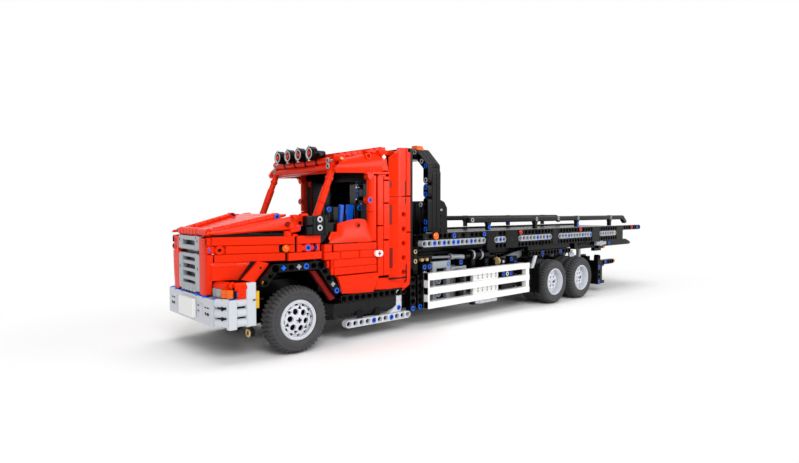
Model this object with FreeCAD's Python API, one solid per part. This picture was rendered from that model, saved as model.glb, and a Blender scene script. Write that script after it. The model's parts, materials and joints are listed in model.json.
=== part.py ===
import FreeCAD, Part
import math
import os

os.makedirs("parts", exist_ok=True)

# Flatbed tow truck, a model put together from studless building beams.
# Millimetres. The truck faces -X, its left side is -Y, the ground is Z = 0.
# Stations are counted in beam holes: X from the front axle, Y from the middle, Z from the ground.

# Building system
PITCH = 8.0
BEAM = 0.975
HALF = BEAM / 2
PIN_R = 2.4
RUNNING = 0.05
SHAFT_R = PIN_R - RUNNING
PIN_CORNERS = 12

# Wheels, in millimetres
FACETS = 20
TYRE_R = 31.2
TYRE_WIDTH = 20.0
BEAD_R = 18.8
RIM_R = BEAD_R - RUNNING
SIDEWALL_R = 22.0
SHOULDER_R = 29.4
SHOULDER_DROP = 2.6
SIDEWALL_DISH = 0.9
RIM_WALL = 1.6
HUB_R = 11.0
HUB_DISH = 9.0

# Axle stations
AXLE_Z = TYRE_R / PITCH
AXLE_GAP = 1.1
REAR_AXLE = 51.1
REAR_AXLES = (REAR_AXLE, REAR_AXLE + 2 * AXLE_Z + AXLE_GAP)
FRONT_FACE = 9.3
REAR_FACE = 10.45
TWIN_GAP = 0.2
TRACK_PIVOT = FRONT_FACE - TYRE_WIDTH / PITCH - 0.6

# Chassis
FRAME_FRONT = -6.6
FRAME_REAR = 65.0
RAIL_IN = 2.5
RAIL_OUT = 3.5
FRAME_LOW = 6.0
FRAME_TOP = 8.0
CROSSMEMBERS = (-6.1, 8.0, 19.5, 31.0, 55.0, 64.5)

# Cab
SIDE = 8.5
CAB_REAR = 18.1
CAB_BACK = 18.55
COLUMN_FRONT = 16.2
CORNER_FRONT = 14.4
DOOR_FRONT = 3.95
DOOR_REAR = 12.0
DOOR_LOW = 6.1
DOOR_SHOULDER = 10.75
DOOR_WAIST = 12.8
FLOOR_LOW = 8.3
FLOOR_TOP = 9.1
WALL = 0.9
CAB_LOW = 6.5
CAB_TOP = 25.0
HEADER_Z = 21.4
ROOF_FRONT = 5.7
ROOF_REAR = 14.2
ROOF_FRONT_CROWN = 23.15
ROOF_REAR_CROWN = 24.55
ROOF_LEAN = 0.55
PILLAR_OUT = 7.3
HINGE_X = 4.45
HINGE_Y = 8.075

# Nose
PLATE_FRONT = -9.55
NOSE = -9.1
GRILLE_HALF = 3.1
COLUMN_HALF = 5.75
GRILLE_LOW = 7.15
GRILLE_TOP = 13.55
HOOD_FRONT = -8.4
HOOD_FRONT_HALF = 5.5
HOOD_REAR = -0.1
HOOD_LOW = 10.55
ROLLER_X = -8.55
ROLLER_Z = 13.98
ROLLER_R = 0.4 * PITCH
ROWS = 3
BUMPER_LOW = 3.95
BUMPER_TOP = 6.95
BUMPER_HALF = 6.75
BUMPER_REAR = -4.95
ARCH_TOP = 9.95
LAMP_TOP = 7.95
POD_TOP = 8.85

# Bed
BED_FRONT = 19.9
BED_REAR = 80.1
BED_TIP = 88.4
LOAD_FRONT = 27.5
ROW_TOP = 12.75
ROW_MID = 11.75
ROW_LOW = 10.75
DECK_LOW = 12.3
DECK_TOP = 12.9
RAIL_FRONT = 30.3
RAIL_REAR = 80.3
RAIL_LOW = 14.52
RAIL_TOP = 15.42
RAIL_INSIDE = 7.6
RAIL_POSTS = (35.2, 48.1, 61.9, 74.8)
GUIDE_LIP = 3.1
GUIDE_OUT = 3.4
GUIDE_LOW = 8.9
GUARD_FRONT = 21.35
GUARD_REAR = 23.98
GUARD_TOP = 24.8
GUARD_SHOULDER = 22.6
FOOT_FRONT = 73.1
FOOT_REAR = 83.9
FOOT_LOW = 9.15
SUBFRAME_FRONT = 20.5
SUBFRAME_MEMBERS = (21.0, 34.0, 50.6, 58.0)
SUBFRAME_IN = 2.1
SUBFRAME_OUT = 3.05
SUBFRAME_LOW = 8.7
SUBFRAME_TOP = 9.7
TILT_X = 62.0
TILT_Z = 9.2
EAR_IN = 1.2
EAR_OUT = 2.05
WINCH_X = 25.2
WINCH_Z = 14.6

# Tilt cylinder
CYLINDER_X = 36.0
CYLINDER_Z = 6.5
EYE_X = 48.4
EYE_Z = 8.7
ROD_R = 0.487 * PITCH
TUBE_R = ROD_R + RUNNING + 0.25 * PITCH
EYE_R = 0.55 * PITCH
TUBE_LENGTH = 7.5
ROD_START = 2.4

# Side bars
BAR_FRONT = 20.05
BAR_REAR = 44.3
BAR_OUT = 9.6
BAR_ROWS = (3.17, 5.17, 7.17)

# The frame's origin is the middle of the box, so the front axle is found from both ends
FRONT_AXLE_MM = -(PLATE_FRONT + BED_TIP) / 2 * PITCH


# Shape helpers
def point(x, y, z):
    """A place given in holes from the front axle, the middle and the ground."""
    return FreeCAD.Vector(FRONT_AXLE_MM + x * PITCH, y * PITCH, z * PITCH)


def block(x0, x1, y0, y1, z0, z1):
    corner = point(x0, y0, z0)
    return Part.makeBox((x1 - x0) * PITCH, (y1 - y0) * PITCH, (z1 - z0) * PITCH, corner)


def closed_wire(points):
    return Part.makePolygon(points + [points[0]])


def along_y(outline, y0, y1):
    """An outline of (x, z) corners pushed along Y."""
    face = Part.Face(closed_wire([point(x, y0, z) for x, z in outline]))
    return face.extrude(FreeCAD.Vector(0, (y1 - y0) * PITCH, 0))


def along_z(outline, z0, z1):
    """An outline of (x, y) corners pushed along Z."""
    face = Part.Face(closed_wire([point(x, y, z0) for x, y in outline]))
    return face.extrude(FreeCAD.Vector(0, 0, (z1 - z0) * PITCH))


def along_x(outline, x0, x1):
    """An outline of (y, z) corners pushed along X."""
    face = Part.Face(closed_wire([point(x0, y, z) for y, z in outline]))
    return face.extrude(FreeCAD.Vector((x1 - x0) * PITCH, 0, 0))


def prism(start, end, radius, corners=PIN_CORNERS):
    """A straight bar with flat sides between two places, its radius in millimetres."""
    a = point(*start)
    way = point(*end) - a
    turn = FreeCAD.Rotation(FreeCAD.Vector(0, 0, 1), way)
    ring = []
    for i in range(corners):
        angle = 2 * math.pi * i / corners
        spoke = FreeCAD.Vector(radius * math.cos(angle), radius * math.sin(angle), 0)
        ring.append(a + turn.multVec(spoke))
    return Part.Face(closed_wire(ring)).extrude(way)


def bore(start, end):
    """The room of a pin's hole: its flat sides stand the hole's radius from its axis."""
    return prism(start, end, PIN_R / math.cos(math.pi / PIN_CORNERS))


def faceted(front, rear):
    """A solid with flat facets between two closed outlines with the same number of corners."""
    faces = [Part.Face(closed_wire(front)), Part.Face(closed_wire(rear))]
    for i in range(len(front)):
        j = (i + 1) % len(front)
        faces.append(Part.Face(closed_wire([front[i], front[j], rear[j]])))
        faces.append(Part.Face(closed_wire([front[i], rear[j], rear[i]])))
    shell = Part.makeShell(faces)
    shell.sewShape()
    solid = Part.makeSolid(Part.makeShell(shell.Faces))
    if solid.Volume < 0:
        solid.reverse()
    return solid


def mirrored(shape):
    return shape.mirror(FreeCAD.Vector(0, 0, 0), FreeCAD.Vector(0, 1, 0))


def both_sides(shape):
    return Part.makeCompound([shape, mirrored(shape)])


def fused(shapes):
    whole = shapes[0].multiFuse(shapes[1:])
    return whole.removeSplitter()


def band(path, width, y0, y1):
    """A flat strip of constant width that follows a broken line of (x, z) places."""
    left = []
    right = []
    for i, (x, z) in enumerate(path):
        before = path[max(i - 1, 0)]
        after = path[min(i + 1, len(path) - 1)]
        turn_in = math.atan2(z - before[1], x - before[0]) if i else None
        turn_out = math.atan2(after[1] - z, after[0] - x) if i < len(path) - 1 else None
        turn_in = turn_out if turn_in is None else turn_in
        turn_out = turn_in if turn_out is None else turn_out
        mean = (turn_in + turn_out) / 2
        reach = width / 2 / math.cos((turn_out - turn_in) / 2)
        left.append((x - reach * math.sin(mean), z + reach * math.cos(mean)))
        right.append((x + reach * math.sin(mean), z - reach * math.cos(mean)))
    return along_y(left + right[::-1], y0, y1)


def beam_outline(x, z, holes, y):
    """The outer wire of a lying beam: two half rounds joined by straight edges."""
    r = HALF
    last = x + holes - 1
    top = Part.makeLine(point(x, y, z + r), point(last, y, z + r))
    far = Part.Arc(point(last, y, z + r), point(last + r, y, z), point(last, y, z - r)).toShape()
    low = Part.makeLine(point(last, y, z - r), point(x, y, z - r))
    near = Part.Arc(point(x, y, z - r), point(x - r, y, z), point(x, y, z + r)).toShape()
    return Part.Wire([top, far, low, near])


def lying_beam(x, z, holes, y0, y1, drilled):
    """A straight beam along X, the first hole's place at x, with the numbered holes drilled."""
    wires = [beam_outline(x, z, holes, y0)]
    across = FreeCAD.Vector(0, 1, 0)
    for i in drilled:
        circle = Part.makeCircle(PIN_R, point(x + i, y0, z), across)
        wires.append(Part.Wire([circle]))
    face = Part.makeFace(wires, "Part::FaceMakerBullseye")
    return face.extrude(FreeCAD.Vector(0, (y1 - y0) * PITCH, 0))


def polygon(a, b, radius, corners):
    """The corners of a regular outline about the station (a, b), its radius in millimetres."""
    outline = []
    for i in range(corners):
        angle = 2 * math.pi * (i + 0.5) / corners
        outline.append((a + radius / PITCH * math.cos(angle), b + radius / PITCH * math.sin(angle)))
    return outline


def polygon_ring(outer, inner, height, corners):
    """A flat ring with straight sides that lies on the origin, in millimetres."""
    wires = []
    for radius in (outer, inner):
        turn = [2 * math.pi * i / corners for i in range(corners)]
        ring = [FreeCAD.Vector(radius * math.cos(t), radius * math.sin(t), 0) for t in turn]
        wires.append(closed_wire(ring))
    face = Part.makeFace(wires, "Part::FaceMakerBullseye")
    return face.extrude(FreeCAD.Vector(0, 0, height))


def turned_facets(profile, x):
    """A ring with flat facets, from a closed profile of (radius mm, y mm) round an axle."""
    centre = point(x, 0, AXLE_Z)
    rings = []
    for radius, y in profile:
        ring = []
        for i in range(FACETS):
            angle = 2 * math.pi * i / FACETS
            step = FreeCAD.Vector(radius * math.cos(angle), y, radius * math.sin(angle))
            ring.append(centre + step)
        rings.append(ring)
    faces = []
    for k in range(len(rings)):
        here = rings[k]
        there = rings[(k + 1) % len(rings)]
        for i in range(FACETS):
            j = (i + 1) % FACETS
            faces.append(Part.Face(closed_wire([here[i], here[j], there[j], there[i]])))
    shell = Part.makeShell(faces)
    shell.sewShape()
    solid = Part.makeSolid(Part.makeShell(shell.Faces))
    if solid.Volume < 0:
        solid.reverse()
    return solid


def export(name, shape):
    shape.exportStep("parts/" + name + ".step")


# Wheels
def tyre(x, outer):
    """A tyre whose outer sidewall stands at y = -outer holes."""
    y0 = -outer * PITCH
    y1 = y0 + TYRE_WIDTH
    profile = [
        (BEAD_R, y0 + SIDEWALL_DISH),
        (SIDEWALL_R, y0),
        (SHOULDER_R, y0),
        (TYRE_R, y0 + SHOULDER_DROP),
        (TYRE_R, y1 - SHOULDER_DROP),
        (SHOULDER_R, y1),
        (SIDEWALL_R, y1),
        (BEAD_R, y1 - SIDEWALL_DISH),
    ]
    return turned_facets(profile, x)


def front_rim(x):
    """The bulging front rim, bored for its stub axle."""
    face = -(FRONT_FACE - 0.1) * PITCH
    back = -FRONT_FACE * PITCH + TYRE_WIDTH - SIDEWALL_DISH
    hub_back = face + 9.0
    profile = [
        (PIN_R / math.cos(math.pi / FACETS), face + 1.0),
        (HUB_R, face + 0.6),
        (RIM_R - 2.6, face + 3.2),
        (RIM_R - RIM_WALL, face),
        (RIM_R, face),
        (RIM_R, back),
        (RIM_R - RIM_WALL, back),
        (RIM_R - RIM_WALL, face + 6.0),
        (HUB_R - 6.0, hub_back),
        (PIN_R / math.cos(math.pi / FACETS), hub_back),
    ]
    return turned_facets(profile, x)


def rear_rims(x):
    """Two rims of a twin wheel on one shaft, the outer one dished deep."""
    face = -REAR_FACE * PITCH
    seam = face + TYRE_WIDTH
    inner_face = seam + TWIN_GAP * PITCH
    back = inner_face + TYRE_WIDTH
    thin = RIM_R - RIM_WALL
    disc = face + HUB_DISH
    disc_back = disc + 3.0
    core = SHAFT_R / 2
    outer = [
        (core, disc - 2.0),
        (HUB_R - 5.0, disc - 2.0),
        (HUB_R, disc),
        (thin, disc - 1.0),
        (thin, face - 0.3),
        (RIM_R, face - 0.3),
        (RIM_R, back - 1.0),
        (thin, back - 1.0),
        (thin, disc_back),
        (core, disc_back),
    ]
    shaft = prism((x, -(REAR_FACE - HUB_DISH / PITCH + 0.25), AXLE_Z), (x, -3.7, AXLE_Z), SHAFT_R)
    return turned_facets(outer, x), shaft


def make_wheels():
    for side, flip in (("left", False), ("right", True)):
        shapes = {"front_tyre_" + side: tyre(0.0, FRONT_FACE), "front_rim_" + side: front_rim(0.0)}
        for number, x in enumerate(REAR_AXLES, 1):
            inner = REAR_FACE - TYRE_WIDTH / PITCH - TWIN_GAP
            pair = Part.makeCompound([tyre(x, REAR_FACE), tyre(x, inner)])
            rims, shaft = rear_rims(x)
            shapes["rear_tyres_%d_%s" % (number, side)] = pair
            shapes["rear_rims_%d_%s" % (number, side)] = fused([rims, shaft])
        for name, shape in shapes.items():
            export(name, mirrored(shape) if flip else shape)


# Chassis
def chassis_frame():
    rail = block(FRAME_FRONT, FRAME_REAR, RAIL_IN, RAIL_OUT, FRAME_LOW, FRAME_TOP)
    saddle = block(TILT_X - 1.5, TILT_X + 1.5, -RAIL_IN, RAIL_IN, FRAME_TOP - BEAM, FRAME_TOP)
    parts = [rail, mirrored(rail), saddle]
    for x in CROSSMEMBERS:
        parts.append(block(x - HALF, x + HALF, -RAIL_IN, RAIL_IN, FRAME_LOW + 1 - HALF, FRAME_TOP))
    ear = block(TILT_X - HALF, TILT_X + HALF, EAR_IN, EAR_OUT, FRAME_TOP, TILT_Z + 0.45)
    pin = prism((TILT_X, SUBFRAME_OUT, TILT_Z), (TILT_X, -SUBFRAME_OUT, TILT_Z), SHAFT_R)
    return fused(parts + [ear, mirrored(ear), pin] + cylinder_bracket())


def front_axle():
    """The steering axle: a beam across, an eye at each end for the kingpin."""
    low = AXLE_Z - HALF
    high = AXLE_Z + HALF
    beam = block(-HALF, HALF, -TRACK_PIVOT, TRACK_PIVOT, low, high)
    eye = prism((0, -TRACK_PIVOT, low), (0, -TRACK_PIVOT, high), HALF * PITCH)
    hole = bore((0, -TRACK_PIVOT, low), (0, -TRACK_PIVOT, high))
    seat = block(-1.5, 1.5, RAIL_IN, RAIL_OUT, high, FRAME_LOW)
    whole = fused([beam, eye, mirrored(eye), seat, mirrored(seat)])
    return whole.cut(hole).cut(mirrored(hole))


def knuckle():
    """The left steering knuckle: two cheeks on a kingpin and a stub axle."""
    gap = 0.01
    low = AXLE_Z - HALF
    high = AXLE_Z + HALF
    outside = -TRACK_PIVOT - 1.2
    inside = -TRACK_PIVOT - HALF - 0.06
    cheek_end = -TRACK_PIVOT + HALF
    upper = block(-HALF, HALF, outside, cheek_end, high + gap, high + 0.4)
    lower = block(-HALF, HALF, outside, cheek_end, low - 0.4, low - gap)
    web = block(-HALF, HALF, outside, inside, low - 0.4, high + 0.4)
    pin = prism((0, -TRACK_PIVOT, low - 0.4), (0, -TRACK_PIVOT, high + 0.4), SHAFT_R)
    stub = prism((0, outside, AXLE_Z), (0, -FRONT_FACE + 0.3, AXLE_Z), SHAFT_R)
    return fused([upper, lower, web, pin, stub])


def rear_axles():
    """Two cross beams bored for the twin wheels, hung from the frame by brackets."""
    parts = []
    holes = []
    for x in REAR_AXLES:
        beam = block(x - HALF, x + HALF, -4.8, 4.8, AXLE_Z - HALF, AXLE_Z + HALF)
        hanger = block(x - HALF, x + HALF, RAIL_IN, RAIL_OUT, AXLE_Z + HALF, FRAME_LOW)
        parts += [beam, hanger, mirrored(hanger)]
        hole = bore((x, -5.0, AXLE_Z), (x, -3.6, AXLE_Z))
        holes += [hole, mirrored(hole)]
    rocker = block(REAR_AXLES[0], REAR_AXLES[1], 2.5, 3.5, 4.6, 5.4)
    whole = fused(parts + [rocker, mirrored(rocker)])
    for hole in holes:
        whole = whole.cut(hole)
    return whole


def engine():
    block_body = block(-5.0, 2.9, -2.4, 2.4, FRAME_LOW + 1, 11.0)
    heads = [block(-4.6 + 1.3 * i, -3.6 + 1.3 * i, -1.6, 1.6, 11.0, 12.2) for i in range(6)]
    return fused([block_body] + heads)


def sill_beams():
    beam = lying_beam(7.58, 2.2, 11, -SIDE, -SIDE + BEAM, (1,))
    hanger = block(13.0, 14.0, -SIDE + BEAM, -RAIL_OUT, 1.8, 2.6)
    riser = block(13.0, 14.0, -RAIL_OUT - 0.9, -RAIL_OUT, 2.6, 7.0)
    return both_sides(fused([beam, hanger, riser]))


def side_tanks():
    """Dark panels under the cab with a rounded lower edge."""
    outline = [(-8.3, 4.95), (-8.3, 3.7), (-7.9, 3.0), (-6.9, 2.75), (-4.5, 2.75), (-4.5, 4.95)]
    tank = along_x(outline, 5.4, 16.4)
    strap = block(8.5, 9.5, -4.5, -RAIL_OUT, 4.0, FRAME_TOP - 0.5)
    return both_sides(fused([tank, strap]))


def side_bars():
    """Three white bars a side between end posts."""
    parts = []
    for z in BAR_ROWS:
        parts.append(block(BAR_FRONT, BAR_REAR, -BAR_OUT, -BAR_OUT + BEAM, z - HALF, z + HALF))
    return both_sides(Part.makeCompound(parts))


def bar_posts():
    """Posts that carry the bars, on arms from the frame."""
    low = BAR_ROWS[0] - HALF
    high = BAR_ROWS[-1] + HALF
    parts = []
    for x in (BAR_FRONT + 0.5, 28.5, 36.5, BAR_REAR - 0.5):
        parts.append(block(x - HALF, x + HALF, -BAR_OUT + BEAM, -BAR_OUT + 2 * BEAM, low, high))
        parts.append(block(x - HALF, x + HALF, -BAR_OUT + 2 * BEAM, -RAIL_OUT, 6.7, high - 0.1))
    return both_sides(fused(parts[:2]).multiFuse(parts[2:]))


def side_lockers():
    box = block(22.9, 27.3, -7.4, -RAIL_OUT, 3.3, 8.5)
    return both_sides(box)


def mudflaps():
    front = REAR_AXLE - AXLE_Z - 1.0
    flap = block(front, front + 0.3, -REAR_FACE, -REAR_FACE + 4.6, 2.4, 7.4)
    arm = block(front - 0.6, front + 0.3, -REAR_FACE + 4.6, -RAIL_OUT, 6.5, 7.4)
    return both_sides(fused([flap, arm]))


def underrun():
    """The black frame behind the rear wheels."""
    front = 69.6
    rear = 70.6
    bar = block(front, rear, -SIDE, SIDE, 1.5, 2.4)
    upper = block(front, rear, -SIDE, SIDE, 5.4, 6.3)
    end = block(front, rear, -SIDE, -SIDE + BEAM, 2.4, 7.6)
    post = block(front, rear, 4.0, 4.9, 2.4, 5.4)
    tie = block(63.5, rear, RAIL_OUT, 4.5, FRAME_LOW, FRAME_LOW + 1.2)
    return fused([bar, upper, end, mirrored(end), post, mirrored(post), tie, mirrored(tie)])


# Cab
def cab_floor():
    floor = block(3.6, CAB_REAR - WALL - 0.02, -7.5, 7.5, FLOOR_LOW, FLOOR_TOP)
    mount = block(8.8, 9.8, RAIL_IN, RAIL_OUT, FRAME_TOP, FLOOR_LOW)
    rear_mount = block(16.0, 17.0, RAIL_IN, RAIL_OUT, FRAME_TOP, FLOOR_LOW)
    firewall = block(3.0, 3.6, -7.5, 7.5, FLOOR_LOW, 15.4)
    return fused([floor, mount, mirrored(mount), rear_mount, mirrored(rear_mount), firewall])


def cab_corners():
    """Tall curved panels ahead of the rear columns, with the fixed side panel before them."""
    bulge = [
        (DOOR_REAR + 0.12, -7.6),
        (DOOR_REAR + 0.12, -SIDE),
        (CORNER_FRONT, -SIDE),
        (CORNER_FRONT + 0.3, -SIDE - 0.1),
        (CORNER_FRONT + 0.9, -SIDE - 0.2),
        (COLUMN_FRONT, -SIDE - 0.1),
        (COLUMN_FRONT, -7.6),
    ]
    low = HEADER_Z - 0.4
    panel = along_z(bulge, CAB_LOW + 0.9, low)
    slant = [
        (CORNER_FRONT, low), (COLUMN_FRONT, low), (COLUMN_FRONT, CAB_TOP - 0.1),
        (CORNER_FRONT, CAB_TOP - 1.5),
    ]
    return both_sides(fused([panel, along_y(slant, -SIDE - 0.1, -7.6)]))


def cab_rear():
    """The red rear columns and the back wall with its window."""
    column = block(COLUMN_FRONT + 0.02, CAB_REAR, -SIDE, -7.5, CAB_LOW, CAB_TOP)
    wall = block(CAB_REAR - WALL, CAB_BACK, -7.5, 7.5, FLOOR_LOW, CAB_TOP - 0.1)
    back = block(CAB_REAR, CAB_BACK, -8.4, 8.4, FLOOR_LOW, CAB_TOP - 0.1)
    window = block(CAB_REAR - WALL, CAB_BACK, -4.5, 4.5, 15.0, 20.5)
    return fused([column, mirrored(column), fused([wall, back]).cut(window)])


def roof_section(x, lean, crown):
    """One inverted tray section of the roof, leaning back by a share of its height."""
    sill = HEADER_Z
    outer = [
        (-SIDE, sill), (-SIDE, crown - 0.3), (-8.1, crown), (8.1, crown), (SIDE, crown - 0.3),
        (SIDE, sill),
    ]
    inner = [(7.6, sill), (7.6, crown - 1.1), (7.2, crown - 0.8)]
    ring = outer + inner + [(-y, z) for y, z in inner[::-1]]
    return [point(x + lean * (z - sill), y, z) for y, z in ring]


def cab_roof():
    front = roof_section(ROOF_FRONT, ROOF_LEAN, ROOF_FRONT_CROWN)
    rear = roof_section(ROOF_REAR, 0, ROOF_REAR_CROWN)
    tray = faceted(front, rear)
    back = block(ROOF_REAR, CAB_REAR - WALL - 0.02, -7.5, 7.5, ROOF_REAR_CROWN - 0.8, ROOF_REAR_CROWN)
    return fused([tray, back])


def windscreen_frame():
    """Sloping pillars under a header beam."""
    inside = -PILLAR_OUT + 0.8
    pillar = band([(3.65, 15.45), (6.1, HEADER_Z + 0.05)], 0.75, -PILLAR_OUT, inside)
    lip = ROOF_FRONT_CROWN - 0.87
    header = block(ROOF_FRONT - 0.1, ROOF_FRONT + 0.8, -PILLAR_OUT, PILLAR_OUT, HEADER_Z, lip)
    foot = block(3.05, 4.3, -PILLAR_OUT, inside, 15.42, 15.8)
    return fused([pillar, mirrored(pillar), header, foot, mirrored(foot)])


def cowl():
    """The block between the hood and the windscreen, its red cheeks and the door's hinge pins."""
    cheek = block(0.0, 3.6, -SIDE, -7.5, HOOD_LOW, HOOD_LOW + ROWS)
    top = block(0.6, 2.95, -7.5, 7.5, 12.6, 15.4)
    parts = [cheek, top]
    reach = HINGE_X + SHAFT_R / PITCH
    for low, high in ((HOOD_LOW, DOOR_SHOULDER - 0.02), (DOOR_WAIST + 0.02, DOOR_WAIST + 0.4)):
        parts.append(block(3.5, reach, -HINGE_Y - 0.3, -HINGE_Y + 0.3, low, high))
    parts.append(prism((HINGE_X, -HINGE_Y, HOOD_LOW), (HINGE_X, -HINGE_Y, DOOR_WAIST + 0.4), SHAFT_R))
    return fused(parts + [mirrored(shape) for shape in parts[:1] + parts[2:]])


def dashboard():
    """The desk under the windscreen with the steering wheel on its column."""
    desk = along_y([(3.62, 12.0), (5.2, 12.6), (5.2, 13.8), (4.35, 15.2), (3.62, 15.2)], -7.3, 7.3)
    column = prism((5.0, -4.2, 13.2), (6.6, -4.2, 14.0), SHAFT_R)
    centre = point(6.6, -4.2, 14.0)
    tilt = FreeCAD.Vector(2, 0, 1)
    wheel = polygon_ring(10.0, 7.4, 2.4, 12)
    spoke = Part.makeBox(17.0, 3.0, 2.0, FreeCAD.Vector(-8.5, -1.5, 0))
    turn = FreeCAD.Rotation(FreeCAD.Vector(0, 0, 1), tilt)
    wheel = fused([wheel, spoke])
    wheel.Placement = FreeCAD.Placement(centre, turn)
    return fused([desk, column, wheel])


def seats():
    side = [
        (9.0, FLOOR_TOP), (13.0, FLOOR_TOP), (13.8, 17.2), (12.7, 17.4), (12.0, 11.8), (8.6, 11.8),
        (8.6, 10.6),
    ]
    return both_sides(along_y(side, -6.2, -2.6))


def grille():
    """A light grey frame with a comb of chamfered bars."""
    back = -8.35
    face = NOSE
    sides = block(face, back, GRILLE_HALF - 0.9, GRILLE_HALF, GRILLE_LOW, GRILLE_TOP)
    comb = [(back, GRILLE_LOW), (back, GRILLE_TOP)]
    bars = 7
    pitch = (GRILLE_TOP - GRILLE_LOW) / bars
    for i in range(bars):
        top = GRILLE_TOP - i * pitch
        comb += [(face + 0.1, top), (face, top - 0.15), (face, top - 0.45)]
        comb += [(face + 0.1, top - 0.6), (face + 0.35, top - 0.65)]
        comb.append((face + 0.35, top - pitch + 0.03))
    comb = along_y(comb, -GRILLE_HALF + 0.9, GRILLE_HALF - 0.9)
    return fused([comb, sides, mirrored(sides)])


def grille_columns():
    front = NOSE + 0.1
    rear = NOSE + 1.0
    outline = [
        (front, GRILLE_LOW + 0.9), (front + 0.5, GRILLE_LOW), (rear, GRILLE_LOW),
        (rear, GRILLE_TOP), (front, GRILLE_TOP),
    ]
    column = along_y(outline, -COLUMN_HALF, -GRILLE_HALF - 0.02)
    tie = block(rear, -6.02, -RAIL_OUT - 0.9, -RAIL_OUT, GRILLE_LOW + 0.1, FRAME_TOP)
    return both_sides(fused([column, tie]))


def hood_sides():
    """Rows of beams that splay from the grille to the cab, on a thin back plate."""
    front_out = HOOD_FRONT_HALF
    rear_out = SIDE
    parts = []
    starts = (HOOD_FRONT + 0.3, HOOD_FRONT + 0.3, -7.3)
    ends = (HOOD_REAR, -0.6, -0.7)
    slope = (rear_out - front_out) / (HOOD_REAR - HOOD_FRONT)

    def half_width(x):
        return front_out + slope * (x - HOOD_FRONT)

    for i in range(ROWS):
        a, b = starts[i], ends[i]
        z1 = HOOD_LOW + ROWS - i
        plan = [
            (a, -half_width(a)), (b, -half_width(b)), (b, -half_width(b) + BEAM),
            (a, -half_width(a) + BEAM),
        ]
        parts.append(along_z(plan, z1 - BEAM, z1))
    a, b = starts[0] + 0.1, HOOD_REAR
    plan = [
        (a, -half_width(a) + 0.8), (b, -half_width(b) + 0.8), (b, -half_width(b) + 1.2),
        (a, -half_width(a) + 1.2),
    ]
    parts.append(along_z(plan, HOOD_LOW + 0.1, HOOD_LOW + ROWS))
    return both_sides(fused(parts))


def bonnet_section(x, half, edge, ridge, crown):
    """The bonnet's outline across the truck: flanks that rise to two ridges, over a narrower core."""
    core = half - 0.9
    low = HOOD_LOW + ROWS + 0.02
    side = [(half, edge), (half - 0.3, edge - 0.1), (core, edge - 0.1), (core, low)]
    ring = [(-ridge, crown), (ridge, crown)] + side + [(-y, z) for y, z in side[::-1]]
    return [point(x, y, z) for y, z in ring]


def hood_top():
    """A bonnet that widens and rises from the grille to the cowl, with a row of rollers ahead."""
    front = bonnet_section(HOOD_FRONT + 0.2, HOOD_FRONT_HALF - 0.05, 13.8, 3.9, 14.15)
    rear = bonnet_section(0.4, SIDE - 0.05, 14.5, 6.5, 16.1)
    parts = [faceted(front, rear)]
    rollers = 8
    width = 8.9 / rollers
    for i in range(rollers):
        y = -4.45 + i * width
        parts.append(along_y(polygon(ROLLER_X, ROLLER_Z, ROLLER_R, 8), y + 0.06, y + width - 0.06))
    parts.append(along_y(polygon(ROLLER_X, ROLLER_Z, 0.75 * ROLLER_R, 8), -4.4, 4.4))
    return fused(parts)


def front_fenders():
    """Red panels ahead of the wheel arch and the pod over the headlamp."""
    cheek = along_z([(-8.05, -5.85), (-4.3, -7.2), (-4.3, -6.3), (-8.05, -4.95)], 8.45, HOOD_LOW - 0.03)
    slope = band([(-4.83, 8.9), (-3.75, 10.2)], 0.8, -SIDE, -6.9)
    pod = block(-8.05, -6.02, -8.3, -5.2, LAMP_TOP, POD_TOP)
    shelf = block(-6.1, -5.2, -7.4, -5.1, LAMP_TOP, POD_TOP - 0.3)
    stay = block(-5.98, -5.2, -5.2, -RAIL_OUT, 7.2, POD_TOP - 0.3)
    return both_sides(fused([cheek, slope, pod, shelf, stay]))


def arch_beams():
    """Black bent beams round the front wheel and the beam under the door."""
    path = [(-4.6, 7.7), (-2.8, ARCH_TOP), (3.5, ARCH_TOP), (6.3, 5.9)]
    inside = -SIDE + BEAM
    arch = band(path, BEAM, -SIDE, inside)
    liner = band([(-4.6, 7.7), (-2.8, ARCH_TOP), (2.5, ARCH_TOP)], 0.3, inside, -RAIL_OUT)
    rear_liner = band([(5.3, 7.35), path[-1]], 0.3, inside, -RAIL_OUT)
    beam = lying_beam(6.8, 5.5, 11, -SIDE, inside, ())
    arm = block(12.0, 12.9, inside, -RAIL_OUT, 5.25, 6.2)
    return both_sides(fused([arch, liner, rear_liner, beam, arm]))


def headlamps():
    lens = along_z(polygon(-7.6, -6.1, 3.2, 12), BUMPER_TOP + 0.02, LAMP_TOP - 0.02)
    amber = block(-7.9, -6.3, -8.2, -6.7, BUMPER_TOP + 0.02, LAMP_TOP - 0.02)
    return both_sides(Part.makeCompound([lens, amber]))


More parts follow.
